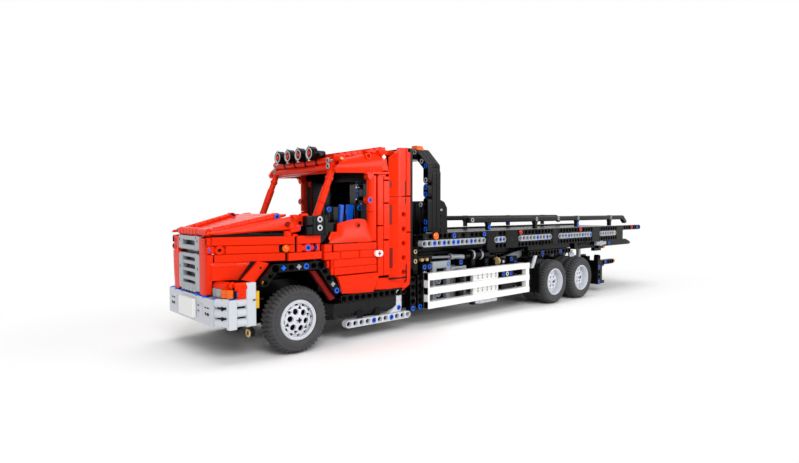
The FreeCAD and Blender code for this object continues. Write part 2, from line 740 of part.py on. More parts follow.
def bumper():
    """A wrap-round bumper of three rows with cut corners."""
    half = BUMPER_HALF
    outer = [
        (BUMPER_REAR, SIDE), (-7.8, SIDE), (NOSE, half), (NOSE, -half), (-7.8, -SIDE),
        (BUMPER_REAR, -SIDE),
    ]
    inner = [
        (BUMPER_REAR, -SIDE + 0.9), (-7.4, -SIDE + 0.9), (-8.2, -half + 0.3), (-8.2, half - 0.3),
        (-7.4, SIDE - 0.9), (BUMPER_REAR, SIDE - 0.9),
    ]
    parts = []
    for i in range(ROWS):
        z = BUMPER_LOW + i
        parts.append(along_z(outer + inner, z, z + BEAM))
    parts.append(block(-8.5, -8.2, -6.0, 6.0, BUMPER_LOW, BUMPER_TOP))
    horn = block(-8.2, FRAME_FRONT, RAIL_IN, RAIL_OUT, FRAME_LOW, BUMPER_TOP - 0.05)
    post = block(-6.0, -5.0, -SIDE, -SIDE + 0.95, BUMPER_LOW - 0.2, 8.6)
    parts += [horn, mirrored(horn), post, mirrored(post)]
    for y in (-7.95, 7.95):
        parts.append(block(-7.0, -5.2, y - 0.3, y + 0.3, BUMPER_LOW, BUMPER_TOP))
    return fused(parts)


def number_plate():
    return block(PLATE_FRONT, NOSE, -2.2, 2.2, BUMPER_LOW + 0.45, BUMPER_TOP - 0.45)


def roof_lamps():
    """Four round lamps on a bar over the windscreen."""
    low = ROOF_FRONT_CROWN - 0.85
    front = ROOF_FRONT - 0.4
    parts = [block(front, ROOF_FRONT + 0.3, -5.2, 5.2, low, low + 1.8)]
    for i in range(4):
        outline = polygon(-4.0 + 2.667 * i, low + 1.35, 6.6, 16)
        parts.append(along_x(outline, front - 0.7, front))
    return fused(parts)


def door():
    """The left door: a leaf with a rounded top panel and a tapered foot, bored for its hinge pin."""
    outline = [
        (DOOR_FRONT, DOOR_WAIST),
        (DOOR_FRONT, DOOR_SHOULDER),
        (4.85, DOOR_SHOULDER),
        (6.9, DOOR_LOW),
        (11.3, DOOR_LOW),
        (DOOR_REAR, 7.6),
        (DOOR_REAR, HEADER_Z - 0.6),
        (DOOR_REAR - 0.9, HEADER_Z - 0.6),
        (DOOR_REAR - 0.9, 14.5),
        (10.4, 15.3),
        (8.9, 15.4),
        (6.1, 14.85),
        (6.0, 13.87),
        (5.15, 13.85),
        (4.9, DOOR_WAIST),
    ]
    leaf = along_y(outline, -SIDE, -7.65)
    hole = bore((HINGE_X, -HINGE_Y, DOOR_SHOULDER - 0.1), (HINGE_X, -HINGE_Y, DOOR_WAIST + 0.1))
    knob = block(DOOR_REAR - 0.75, DOOR_REAR + 0.05, -SIDE - 0.45, -SIDE, 10.45, 11.35)
    return fused([leaf.cut(hole), knob])


def mirror_brackets():
    """Black blocks beside the windscreen foot that carry the mirrors."""
    inner = block(1.1, 4.0, -9.2, -8.65, 13.6, 15.9)
    root = block(1.1, 2.95, -8.65, -7.6, 13.57, 14.6)
    return both_sides(fused([inner, root]))


# Bed
def subframe():
    rail = block(SUBFRAME_FRONT, TILT_X + 0.5, SUBFRAME_IN, SUBFRAME_OUT, SUBFRAME_LOW, SUBFRAME_TOP)
    hole = bore((TILT_X, SUBFRAME_IN - 0.1, TILT_Z), (TILT_X, SUBFRAME_OUT + 0.1, TILT_Z))
    rail = rail.cut(hole)
    parts = [rail, mirrored(rail)]
    for x in SUBFRAME_MEMBERS:
        parts.append(block(x - HALF, x + HALF, -SUBFRAME_IN, SUBFRAME_IN, SUBFRAME_LOW, SUBFRAME_TOP))
    return fused(parts)


def bed_frame():
    """Two guides that slide on the subframe, their cross beams, the front plate and the lamp beams."""
    guide = block(BED_FRONT, BED_REAR, SUBFRAME_IN, GUIDE_OUT, SUBFRAME_TOP + 0.04, DECK_LOW)
    lip = block(BED_FRONT, BED_REAR, GUIDE_LIP, GUIDE_OUT, GUIDE_LOW, SUBFRAME_TOP + 0.04)
    lamp_beam = block(62.5, 71.9, -7.4, -6.4, GUIDE_LOW, GUIDE_LOW + 0.8)
    parts = [guide, mirrored(guide), lip, mirrored(lip), lamp_beam, mirrored(lamp_beam)]
    for i in range(8):
        x = BED_FRONT + 0.5 + i * 8.4
        parts.append(block(x - HALF, x + HALF, -7.5, 7.5, 11.3, DECK_LOW))
    for y in (-7.4, 6.4):
        parts.append(block(70.3, 71.3, y, y + 1.0, GUIDE_LOW, 11.4))
        parts.append(block(62.5, 63.5, y, y + 1.0, GUIDE_LOW, 11.4))
    parts.append(block(62.0, 72.0, -7.4, 7.4, 11.3, 11.6))
    parts.append(block(BED_FRONT, LOAD_FRONT - 0.02, -7.5, 7.5, DECK_LOW, DECK_TOP))
    return fused(parts)


def bed_deck():
    return block(LOAD_FRONT, BED_REAR, -7.5, 7.5, DECK_LOW, DECK_TOP)


def bed_side_beams():
    """The light grey holed beam along the front of each side of the bed."""
    return both_sides(lying_beam(20.75, ROW_MID, 14, -SIDE, -7.52, (4,)))


def bed_side_rows():
    """Black beams above and below the grey row, the thin tail and the foot under it."""
    top = (ROW_TOP - HALF, ROW_TOP + HALF)
    low = (ROW_LOW - HALF, ROW_LOW + HALF)
    foot = [
        (FOOT_FRONT, low[0] + 0.1), (FOOT_FRONT, FOOT_LOW), (FOOT_REAR - 0.8, FOOT_LOW),
        (FOOT_REAR, 9.5), (81.5, low[0] + 0.1),
    ]
    parts = [
        block(BED_FRONT + 0.5, BED_TIP, -SIDE, -7.5, top[0] + 0.2, top[1]),
        block(BED_FRONT + 0.5, BED_REAR, -SIDE, -7.5, top[0], top[0] + 0.4),
        block(33.0, BED_REAR, -SIDE, -7.52, low[0], low[1]),
        block(35.6, BED_REAR - 0.1, -SIDE + 0.1, -7.55, low[1] - 0.2, top[0] + 0.2),
        block(20.4, 33.5, -SIDE, -7.52, low[1] - 0.2, low[1]),
        along_y(foot, -SIDE, -7.55),
    ]
    parts += [mirrored(shape) for shape in parts]
    return fused(parts + [block(BED_REAR + 0.02, BED_TIP - 0.3, -7.6, 7.6, top[0] + 0.2, DECK_TOP)])


def bed_rails():
    parts = [block(RAIL_FRONT, RAIL_REAR, -SIDE, -RAIL_INSIDE, RAIL_LOW, RAIL_TOP)]
    for x in RAIL_POSTS:
        parts.append(block(x - 0.32, x + 0.32, -SIDE + 0.05, -RAIL_INSIDE - 0.05, ROW_TOP + HALF, RAIL_LOW))
    middle = (RAIL_LOW + RAIL_TOP) / 2
    hook = [(RAIL_REAR - 0.5, middle), (RAIL_REAR + 1.6, middle - 1.1)]
    parts.append(band(hook, 0.6, -SIDE, -RAIL_INSIDE))
    return both_sides(fused(parts))


def headboard():
    """The tall guard behind the cab: an arch with cut shoulders over a closed lower panel."""
    foot = ROW_TOP + HALF + 0.02
    outer = [
        (-SIDE, foot), (-SIDE, GUARD_SHOULDER), (-6.3, GUARD_TOP), (6.3, GUARD_TOP),
        (SIDE, GUARD_SHOULDER), (SIDE, foot),
    ]
    inner = [(7.55, foot), (7.55, GUARD_SHOULDER - 0.4), (5.9, GUARD_TOP - BEAM)]
    arch = along_x(outer + inner + [(-y, z) for y, z in inner[::-1]], GUARD_FRONT, GUARD_REAR)
    panel = block(GUARD_FRONT + 0.1, GUARD_FRONT + 0.9, -7.6, 7.6, foot, 17.85)
    sill = block(GUARD_FRONT + 0.1, GUARD_FRONT + 0.9, -7.4, 7.4, DECK_TOP + 0.02, foot)
    return fused([arch, panel, sill])


def beacon_bar():
    """A short orange beacon on each shoulder of the guard."""
    return both_sides(block(GUARD_FRONT, GUARD_FRONT + 1.6, -6.2, -4.7, GUARD_TOP + 0.02, GUARD_TOP + 1.0))


def winch_frame():
    """The winch's two cheeks between a pair of tall rounded housings."""
    cheek = block(24.0, 26.5, 2.2, 3.1, DECK_TOP + 0.02, WINCH_Z + 1.0)
    hole = bore((WINCH_X, 2.1, WINCH_Z), (WINCH_X, 3.2, WINCH_Z))
    base = DECK_TOP + 0.02
    side = [(24.0, base), (26.6, base), (26.5, 16.9), (25.7, 17.9), (24.9, 18.1), (24.0, 17.3)]
    return both_sides(Part.makeCompound([cheek.cut(hole), along_y(side, 6.6, 7.5)]))


def winch_drum():
    shaft = prism((WINCH_X, -3.05, WINCH_Z), (WINCH_X, 3.05, WINCH_Z), SHAFT_R)
    core = along_y(polygon(WINCH_X, WINCH_Z, 5.0, 12), -1.9, 1.9)
    flange = along_y(polygon(WINCH_X, WINCH_Z, 8.0, 12), 1.8, 2.1)
    return fused([shaft, core, flange, mirrored(flange)])


# Tilt cylinder
def cylinder_place(distance):
    length = math.hypot(EYE_X - CYLINDER_X, EYE_Z - CYLINDER_Z)
    share = distance / length
    return (CYLINDER_X + share * (EYE_X - CYLINDER_X), 0, CYLINDER_Z + share * (EYE_Z - CYLINDER_Z))


def tilt_cylinder():
    tube = prism(cylinder_place(0.7), cylinder_place(TUBE_LENGTH), TUBE_R)
    room = prism(cylinder_place(1.2), cylinder_place(TUBE_LENGTH + 0.1), ROD_R + RUNNING)
    eye = prism((CYLINDER_X, -HALF, CYLINDER_Z), (CYLINDER_X, HALF, CYLINDER_Z), TUBE_R)
    hole = bore((CYLINDER_X, -1.0, CYLINDER_Z), (CYLINDER_X, 1.0, CYLINDER_Z))
    return fused([tube, eye]).cut(room).cut(hole)


def tilt_rod():
    length = math.hypot(EYE_X - CYLINDER_X, EYE_Z - CYLINDER_Z)
    bar = prism(cylinder_place(ROD_START), cylinder_place(length - 0.4), ROD_R)
    eye = prism((EYE_X, -HALF, EYE_Z), (EYE_X, HALF, EYE_Z), EYE_R)
    hole = bore((EYE_X, -1.0, EYE_Z), (EYE_X, 1.0, EYE_Z))
    return fused([bar, eye]).cut(hole)


def cylinder_bracket():
    ear = block(CYLINDER_X - HALF, CYLINDER_X + HALF, 0.9, 1.4, CYLINDER_Z - 0.5, CYLINDER_Z + 0.5)
    beam = block(CYLINDER_X - HALF, CYLINDER_X + HALF, 1.4, RAIL_IN, CYLINDER_Z - 0.5, CYLINDER_Z + 0.5)
    pin = prism((CYLINDER_X, -1.0, CYLINDER_Z), (CYLINDER_X, 1.0, CYLINDER_Z), SHAFT_R)
    return [ear, beam, mirrored(ear), mirrored(beam), pin]


NODES = {
    "chassis_frame": chassis_frame,
    "front_axle": front_axle,
    "rear_axles": rear_axles,
    "engine": engine,
    "sill_beams": sill_beams,
    "side_tanks": side_tanks,
    "side_bars": side_bars,
    "bar_posts": bar_posts,
    "side_lockers": side_lockers,
    "mudflaps": mudflaps,
    "underrun": underrun,
    "cab_floor": cab_floor,
    "cab_corners": cab_corners,
    "cab_rear": cab_rear,
    "cab_roof": cab_roof,
    "windscreen_frame": windscreen_frame,
    "cowl": cowl,
    "dashboard": dashboard,
    "seats": seats,
    "grille": grille,
    "grille_columns": grille_columns,
    "hood_sides": hood_sides,
    "hood_top": hood_top,
    "front_fenders": front_fenders,
    "arch_beams": arch_beams,
    "headlamps": headlamps,
    "bumper": bumper,
    "number_plate": number_plate,
    "roof_lamps": roof_lamps,
    "mirror_brackets": mirror_brackets,
    "subframe": subframe,
    "bed_frame": bed_frame,
    "bed_deck": bed_deck,
    "bed_side_beams": bed_side_beams,
    "bed_side_rows": bed_side_rows,
    "bed_rails": bed_rails,
    "headboard": headboard,
    "beacon_bar": beacon_bar,
    "winch_frame": winch_frame,
    "winch_drum": winch_drum,
    "tilt_cylinder": tilt_cylinder,
    "tilt_rod": tilt_rod,
}

for node, make in NODES.items():
    export(node, make())

for side, flip in (("left", False), ("right", True)):
    for node, shape in (("door_" + side, door()), ("knuckle_" + side, knuckle())):
        export(node, mirrored(shape) if flip else shape)

make_wheels()
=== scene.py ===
import bpy
import bmesh
import json
import math
import numpy as np
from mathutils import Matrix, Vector


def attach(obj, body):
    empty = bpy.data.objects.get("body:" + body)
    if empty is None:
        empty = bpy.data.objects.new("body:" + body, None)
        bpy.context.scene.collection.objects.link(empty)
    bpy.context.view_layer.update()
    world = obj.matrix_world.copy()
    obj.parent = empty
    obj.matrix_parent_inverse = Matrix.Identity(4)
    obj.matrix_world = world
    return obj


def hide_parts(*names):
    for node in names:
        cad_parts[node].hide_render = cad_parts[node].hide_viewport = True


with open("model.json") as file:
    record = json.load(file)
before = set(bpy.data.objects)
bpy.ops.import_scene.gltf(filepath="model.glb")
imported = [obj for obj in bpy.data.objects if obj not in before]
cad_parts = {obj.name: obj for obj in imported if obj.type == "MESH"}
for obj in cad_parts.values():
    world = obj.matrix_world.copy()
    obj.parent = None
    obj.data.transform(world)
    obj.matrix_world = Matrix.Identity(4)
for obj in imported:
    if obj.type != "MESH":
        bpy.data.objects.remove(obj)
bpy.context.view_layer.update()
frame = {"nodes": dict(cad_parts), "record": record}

# Building system, in metres. Stations are counted in beam holes, as in the construction:
# X from the front axle, Y from the middle, Z from the ground.
PITCH = 0.008
record = frame["record"]
joints = {joint["name"]: joint for joint in record["behaviour"]["joints"]}
FRONT_AXLE = joints["front_wheel_left_spin"]["pos_m"][0] / PITCH

# A beam's half width and rounded edge, and its holes: 4.9 mm across, with a recess of 6.1 mm
# that is 0.8 mm deep. A plain beam's faces close on a ring too small to see.
HALF = 0.4875
EDGE = 0.035
PIN_R = 2.45 / 8
RING_R = 3.05 / 8
RING_DEPTH = 0.8 / 8
CLOSED_R = 0.02
AROUND = 16

# Stations shared with the construction: the beams' outer face, the axles, the hood's row of rollers
SIDE = 8.5
AXLE_Z = 3.9
REAR_AXLES = (51.1, 60.0)
ROLLER_X = -8.55
ROLLER_Z = 14.05

UP = np.array([0.0, 0.0, 1.0])
BACK = np.array([1.0, 0.0, 0.0])
RIGHT = np.array([0.0, 1.0, 0.0])
LEFT = -RIGHT


# Shapes are pairs (points in holes, list of faces)
def shape(points, faces):
    """A shape from points in any layout."""
    return np.asarray(points, float).reshape(-1, 3), faces


def joined(shapes):
    """Many shapes as one."""
    points = []
    faces = []
    start = 0
    for p, f in shapes:
        points.append(p)
        faces += [tuple(i + start for i in face) for face in f]
        start += len(p)
    return np.concatenate(points), faces


def flipped(item):
    """The same shape on the truck's other side."""
    p, f = item
    return p * (1, -1, 1), [face[::-1] for face in f]


def both(items):
    """Shapes made for the left side, followed by their mirror images."""
    return items + [flipped(item) for item in items]


def on_side(items, side):
    """Shapes made for the left side, for the side that is named."""
    return items if side == "left" else [flipped(item) for item in items]


def between(low, high, share):
    """A value, or many, at a share of the way from low to high."""
    return low + (high - low) * share


def angles(count):
    """Equal steps of one turn."""
    return np.arange(count) * 2 * math.pi / count


def grid_faces(rows, columns, wrap_rows=False, wrap_columns=False):
    """Quads between neighbours of a grid of points."""
    r = np.arange(rows if wrap_rows else rows - 1)
    c = np.arange(columns if wrap_columns else columns - 1)
    a, b = np.meshgrid(r, c, indexing="ij")
    up = (a + 1) % rows
    right = (b + 1) % columns
    quads = np.stack([a * columns + b, a * columns + right, up * columns + right, up * columns + b], -1)
    return [tuple(q) for q in quads.reshape(-1, 4).tolist()]


def axes(along, across):
    """Unit vectors along s, t and the depth, with the depth along `across`."""
    a = np.asarray(along, float)
    a = a / np.linalg.norm(a)
    c = np.asarray(across, float)
    c = c / np.linalg.norm(c)
    return a, np.cross(c, a), c


def plate(outline, origin, along, depth_axis, depth, edge=EDGE):
    """A closed outline of (s, t) corners with rounded edges, pushed along depth_axis.

    Each corner is moved inwards along the mean of its two sides' normals by the edge's size,
    which gives the two end faces, and the full outline stands between them.
    """
    a, b, c = axes(along, depth_axis)
    o = np.asarray(outline, float)
    before = o - np.roll(o, 1, 0)
    after = np.roll(o, -1, 0) - o
    area = np.sum(o[:, 0] * np.roll(o[:, 1], -1) - np.roll(o[:, 0], -1) * o[:, 1])
    turn = 1.0 if area > 0 else -1.0
    n0 = turn * np.stack([-before[:, 1], before[:, 0]], -1)
    n1 = turn * np.stack([-after[:, 1], after[:, 0]], -1)
    n0 /= np.linalg.norm(n0, axis=1, keepdims=True)
    n1 /= np.linalg.norm(n1, axis=1, keepdims=True)
    mean = n0 + n1
    inner = o + edge * mean * 2 / np.maximum(np.sum(mean * mean, 1, keepdims=True), 0.8)
    rings = [(inner, 0.0), (o, edge), (o, depth - edge), (inner, depth)]
    origin = np.asarray(origin, float)
    points = [origin + r[:, :1] * a + r[:, 1:] * b + d * c for r, d in rings]
    n = len(o)
    faces = grid_faces(len(rings), n, wrap_columns=True)
    faces.append(tuple(range(n)))
    faces.append(tuple(range(3 * n, 4 * n)))
    return shape(np.concatenate(points), faces)


def slab(x0, x1, y0, y1, z0, z1, edge=EDGE):
    """A block with rounded edges."""
    outline = [(0, 0), (x1 - x0, 0), (x1 - x0, z1 - z0), (0, z1 - z0)]
    return plate(outline, (x0, y1, z0), BACK, LEFT, y1 - y0, edge)


def slabs(*rows):
    """Blocks from rows of (x0, x1, y0, y1, z0, z1), with an edge at the end of a row that needs its own."""
    return [slab(*row) for row in rows]


def beam(start, along, across, holes, depth=2 * HALF, drilled=True):
    """A studless beam: half-round ends, and a recessed pin hole in every pitch if it is drilled.

    Every hole's cell is a set of rings, from the cell's outline in to the recess, through the
    hole and out again. A ring's point at angle u lies on the square max(|cos u|, |sin u|) = 1,
    on the round end, or on a circle.
    """
    a, b, c = axes(along, across)
    u = angles(AROUND)
    cu, su = np.cos(u), np.sin(u)
    square = np.stack([cu, su], -1) / np.maximum(abs(cu), abs(su))[:, None]
    k = np.arange(holes)[:, None]
    first = (k == 0) & (cu[None] < -1e-6)
    last = (k == holes - 1) & (cu[None] > 1e-6)
    rounded = (first | last)[..., None]

    def outline(shrink):
        """The cells' outlines, drawn in by `shrink`."""
        flat = square * (0.5, HALF - shrink)
        curve = np.stack([cu, su], -1) * (HALF - shrink)
        return np.where(rounded, curve, flat[None])

    def circle(radius):
        """The same circle in every cell."""
        ring = np.stack([cu, su], -1) * radius
        return np.broadcast_to(ring, (holes, AROUND, 2))

    if drilled:
        rings = [
            (outline(0.0), EDGE), (outline(EDGE), 0.0), (circle(RING_R), 0.0),
            (circle(RING_R), RING_DEPTH), (circle(PIN_R), RING_DEPTH), (circle(PIN_R), depth - RING_DEPTH),
            (circle(RING_R), depth - RING_DEPTH), (circle(RING_R), depth),
            (outline(EDGE), depth), (outline(0.0), depth - EDGE),
        ]
    else:
        rings = [
            (outline(0.0), EDGE), (outline(EDGE), 0.0), (circle(CLOSED_R), 0.0),
            (circle(CLOSED_R), depth), (outline(EDGE), depth), (outline(0.0), depth - EDGE),
        ]
    layers = []
    for ring, d in rings:
        s = ring[..., 0] + k
        layers.append(s[..., None] * a + ring[..., 1, None] * b + d * c)
    points = np.stack(layers, 1) + np.asarray(start, float)
    count = len(rings)
    per_cell = np.array(grid_faces(count, AROUND, wrap_rows=True, wrap_columns=True))
    edge_on_square = abs(cu) > abs(su) * 0.999
    column = per_cell[:, 0] % AROUND
    row = per_cell[:, 0] // AROUND
    side = (row == count - 1) | (row == 0) | (row == count - 2)
    both_ends = edge_on_square[column] & edge_on_square[(column + 1) % AROUND]
    to_left = side & both_ends & (cu[column] < 0)
    to_right = side & both_ends & (cu[column] > 0)
    faces = []
    for i in range(holes):
        keep = np.ones(len(per_cell), bool)
        if i > 0:
            keep &= ~to_left
        if i < holes - 1:
            keep &= ~to_right
        faces += [tuple(q) for q in (per_cell[keep] + i * count * AROUND).tolist()]
    return shape(points, faces)


def turned(profile, origin, axis, around=24):
    """A profile of (radius, distance along the axis) spun round the axis."""
    helper = UP if abs(np.dot(axis, UP)) < 0.9 else BACK
    b, _, c = axes(np.cross(helper, axis), axis)
    d = np.cross(c, b)
    p = np.asarray(profile, float)
    u = angles(around)
    spoke = np.cos(u)[:, None] * b + np.sin(u)[:, None] * d
    points = p[:, 0, None, None] * spoke[None] + p[:, 1, None, None] * c
    faces = grid_faces(len(p), around, wrap_columns=True)
    faces.append(tuple(range(around))[::-1])
    faces.append(tuple(range((len(p) - 1) * around, len(p) * around)))
    return shape(points + np.asarray(origin, float), faces)


def tube(start, end, radius, around=12):
    """A round bar between two places, with its rims rounded."""
    a = np.asarray(start, float)
    way = np.asarray(end, float) - a
    length = float(np.linalg.norm(way))
    e = min(EDGE, radius * 0.3)
    profile = [(radius - e, 0.0), (radius, e), (radius, length - e), (radius - e, length)]
    return turned(profile, a, way / length, around)


def sheet(points, thickness):
    """A curved panel from a grid of points, thickened along its own normals."""
    p = np.asarray(points, float)
    along = np.gradient(p, axis=0)
    across = np.gradient(p, axis=1)
    normal = np.cross(along, across)
    normal /= np.maximum(np.linalg.norm(normal, axis=2, keepdims=True), 1e-9)
    under = p - normal * thickness
    rows, columns = p.shape[:2]
    n = rows * columns
    top = grid_faces(rows, columns)
    faces = list(top) + [tuple(i + n for i in f[::-1]) for f in top]
    index = np.arange(n).reshape(rows, columns)
    rim = np.concatenate([index[0, :-1], index[:-1, -1], index[-1, :0:-1], index[:0:-1, 0]])
    after = np.roll(rim, -1)
    faces += [(int(b), int(a), int(a) + n, int(b) + n) for a, b in zip(rim, after)]
    return shape(np.concatenate([p.reshape(-1, 3), under.reshape(-1, 3)]), faces)


PIN_AROUND = 14
PIN_POINTS = 5 * PIN_AROUND


def pin(place, axis):
    """The collar and hollow end of a connector pin, sunk in a beam's recess."""
    profile = [(0.19, 0.8), (0.19, 0.0), (0.29, -0.02), (0.36, 0.02), (0.36, 0.12)]
    return turned(profile, place, np.asarray(axis, float), PIN_AROUND)


def pin_plug_shade(points):
    """Painted shade inside a pin: a black plug between two slices of its bore.

    The rings of the bore are the first two of the pin's points.
    """
    deep, rim = points[:PIN_AROUND], points[PIN_AROUND:2 * PIN_AROUND]
    way = deep - rim
    caps = [tuple(range(PIN_AROUND)), tuple(range(PIN_AROUND, 2 * PIN_AROUND))]
    faces = grid_faces(2, PIN_AROUND, wrap_columns=True) + caps
    return shape(np.concatenate([rim + way * 0.03, rim + way * 0.4]), faces)


def hoop(section, place, axis, around):
    """A closed section of (radius, distance along the axis) spun round the axis, open in the middle."""
    points, _ = turned(section, place, np.asarray(axis, float), around)
    return shape(points, grid_faces(len(section), around, True, True))


def ring(place, axis, outer, inner, depth, around=16):
    """A flat collar with an open hole and rounded front rims."""
    e = 0.04
    section = [(inner, e), (inner + e, 0.0), (outer - e, 0.0), (outer, e), (outer, depth), (inner, depth)]
    return hoop(section, place, axis, around)


def axle_end(place, axis, along):
    """The end of a cross axle: four arms of length a and half width b."""
    a, b = 0.29, 0.11
    outline = [
        (a, -b), (a, b), (b, b), (b, a), (-b, a), (-b, b),
        (-a, b), (-a, -b), (-b, -b), (-b, -a), (b, -a), (b, -b),
    ]
    return plate(outline, place, along, axis, 0.3, 0.02)


def side_plate(outline, inner, depth, edge=0.05):
    """A panel from its (x, z) outline, its outer face at y = -inner."""
    return plate([(x, -z) for x, z in outline], (0, -inner, 0), BACK, RIGHT, depth, edge)


def flat_plate(outline, z, depth, edge=EDGE):
    """A panel from its (x, y) outline, standing on the height z."""
    return plate(outline, (0, 0, z), BACK, UP, depth, edge)


# Objects
def build(name, shapes, material, body="chassis", replaces=(), smooth=30.0):
    """One mesh object from many shapes, in metres in the shared frame.

    The pins among the shapes get black plugs in their bores, painted shade, as a second object.
    """
    points, faces = joined(shapes)
    points = (points + (FRONT_AXLE, 0.0, 0.0)) * PITCH
    mesh = bpy.data.meshes.new(name)
    mesh.from_pydata(points.tolist(), [], faces)
    bm = bmesh.new()
    bm.from_mesh(mesh)
    bmesh.ops.remove_doubles(bm, verts=bm.verts, dist=1e-6)
    bmesh.ops.recalc_face_normals(bm, faces=bm.faces)
    bm.to_mesh(mesh)
    bm.free()
    mesh.polygons.foreach_set("use_smooth", np.ones(len(mesh.polygons), bool))
    mesh.set_sharp_from_angle(angle=math.radians(smooth))
    piece = bpy.data.objects.new(name, mesh)
    bpy.context.scene.collection.objects.link(piece)
    mesh.materials.append(material)
    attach(piece, body)
    for node in replaces:
        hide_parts(node)
    # Black plugs in the pins' bores: painted shade.
    plug_shades = [pin_plug_shade(s[0]) for s in shapes if len(s[0]) == PIN_POINTS]
    if plug_shades and material.name != "black_abs":
        build(name + "_cores", plug_shades, BLACK, body)
    return piece


# Materials
def linear(code):
    """An sRGB hex value as linear light."""
    value = [int(code[i:i + 2], 16) / 255 for i in (0, 2, 4)]
    return tuple(v / 12.92 if v <= 0.04045 else ((v + 0.055) / 1.055) ** 2.4 for v in value) + (1.0,)


def node(tree, kind, links=None, **settings):
    """Adds a node with its settings, and links sockets of others into it."""
    item = tree.nodes.new(kind)
    for key, value in settings.items():
        if key.startswith("in_"):
            name = key[3:].replace("_", " ")
            item.inputs[int(name) if name.isdigit() else name].default_value = value
        else:
            setattr(item, key, value)
    for key, source in (links or {}).items():
        tree.links.new(source, item.inputs[key])
    return item


def noise(tree, scale, detail=2.0):
    """Noise from 0 to 1 in the object's own coordinates."""
    coords = node(tree, "ShaderNodeTexCoord")
    links = {"Vector": coords.outputs["Object"]}
    return node(tree, "ShaderNodeTexNoise", links, in_Scale=scale, in_Detail=detail).outputs["Fac"]


def tint(tree, shader, factor, first, second):
    """Gives the shader a base colour between two colours."""
    mix = node(tree, "ShaderNodeMix", {"Factor": factor}, data_type="RGBA")
    mix.inputs["A"].default_value = first
    mix.inputs["B"].default_value = second
    tree.links.new(mix.outputs["Result"], shader.inputs["Base Color"])


def grain(tree, shader, height, strength, distance):
    """Gives the shader a surface relief."""
    bump = node(tree, "ShaderNodeBump", {"Height": height}, in_Strength=strength, in_Distance=distance)
    tree.links.new(bump.outputs["Normal"], shader.inputs["Normal"])


def new_material(name):
    """A material with its node tree and its shader."""
    material = bpy.data.materials.new(name)
    material.use_nodes = True
    tree = material.node_tree
    return material, tree, tree.nodes["Principled BSDF"]


def moulded(name, code, roughness=0.24, dark=0.9, scuff=0.1, gloss=0.3):
    """Injection-moulded ABS: even colour right through, a clean gloss, faint flow and sink marks.

    `dark` is the darkest share of the colour, and `gloss` is matched to the photograph.
    """
    material, tree, shader = new_material(name)
    colour = linear(code)[:3]
    shade = tuple(c * dark for c in colour) + (1.0,)
    light = tuple(min(1.0, c * (2 - dark)) for c in colour) + (1.0,)
    tint(tree, shader, noise(tree, scale=90.0, detail=3.0), shade, light)
    rough = node(tree, "ShaderNodeMapRange", {"Value": noise(tree, scale=700.0, detail=4.0)})
    rough.inputs["To Min"].default_value = roughness - scuff / 2
    rough.inputs["To Max"].default_value = roughness + scuff / 2
    tree.links.new(rough.outputs["Result"], shader.inputs["Roughness"])
    grain(tree, shader, noise(tree, scale=120.0, detail=1.0), strength=0.05, distance=0.0005)
    shader.inputs["IOR"].default_value = 1.53
    shader.inputs["Specular IOR Level"].default_value = gloss
    return material


def rubber(name):
    """Moulded tyre rubber: dark grey, dull, with dust and a fine mould grain."""
    material, tree, shader = new_material(name)
    tint(tree, shader, noise(tree, scale=160.0, detail=6.0), linear("343335"), linear("4a494b"))
    grain(tree, shader, noise(tree, scale=2500.0), strength=0.2, distance=0.0002)
    shader.inputs["Roughness"].default_value = 0.62
    shader.inputs["IOR"].default_value = 1.52
    shader.inputs["Specular IOR Level"].default_value = 0.25
    return material


def clear_plastic(name, code, weight=0.85, roughness=0.08):
    """Clear polycarbonate, as in small lamp pieces: it lets `weight` of the light through."""
    material, tree, shader = new_material(name)
    colour = linear(code)
    tint(tree, shader, noise(tree, scale=200.0), colour, tuple(c * 0.8 for c in colour[:3]) + (1.0,))
    shader.inputs["Transmission Weight"].default_value = weight
    shader.inputs["Roughness"].default_value = roughness
    shader.inputs["IOR"].default_value = 1.58
    return material


RED = moulded("red_abs", "EE2A00", 0.2, 0.93, gloss=0.1)
# A darkened red: painted shade for red in recesses, gaps, slots and under other parts.
SHADED_RED = moulded("red_abs_painted_shade", "7E0A04", 0.28, gloss=0.12)
GREY = moulded("light_grey_abs", "A6ABB2", 0.26, 0.96)
WHITE = moulded("white_abs", "F0F0EE", 0.25, 0.98)
BLACK = moulded("black_abs", "0A090A", 0.24, 0.8, gloss=0.13)
DARK = moulded("dark_grey_abs", "161617", 0.28, 0.85, gloss=0.15)
BLUE = moulded("blue_abs", "0560E6", 0.26, gloss=0.25)
TAN = moulded("tan_abs", "D2B27A", 0.3)
YELLOW = moulded("yellow_abs", "E2AE04", 0.28)
PALE = moulded("pale_grey_abs", "C9CDD4", 0.24, 0.97)
RIM = moulded("rim_grey_abs", "D6D9E0", 0.2, 0.95)
RED_LENS = moulded("red_lens_plastic", "A00A02", 0.16, 0.97, gloss=0.35)
DEEP_RED = moulded("deep_red_abs", "B40800", 0.22, 0.95, gloss=0.2)
CHROME = moulded("lamp_grey_abs", "B9BBBD", 0.18, 0.95, gloss=0.5)
SILVER = moulded("silver_grey_abs", "9EA2A7", 0.22)
ORANGE_ABS = moulded("orange_abs", "F28A05", 0.3)
TYRE = rubber("tyre_rubber")
AMBER = moulded("amber_lens_plastic", "F06800", 0.14, 0.97, gloss=0.3)
CLEAR = clear_plastic("clear_polycarbonate", "E8EAEC", 0.6)


# Carried-over nodes keep their solid and take a finish
FINISH = {
    "red_panel": RED, "grey_beam": GREY, "white_beam": WHITE, "black_beam": BLACK, "dark_panel": DARK,
    "tyre_rubber": TYRE, "lamp_clear": CLEAR, "orange_lamp": AMBER,
}
slots = {part["node"]: part["material_slot"] for part in record["subparts"]}
for name, item in frame["nodes"].items():
    item.data.materials.clear()
    item.data.materials.append(FINISH[slots[name]])


# Bed
def side_row(x, z, holes, outside=SIDE, depth=2 * HALF, drilled=True):
    """A beam lying along the left side, its holes across the truck."""
    return beam((x, -outside, z), BACK, RIGHT, holes, depth, drilled)


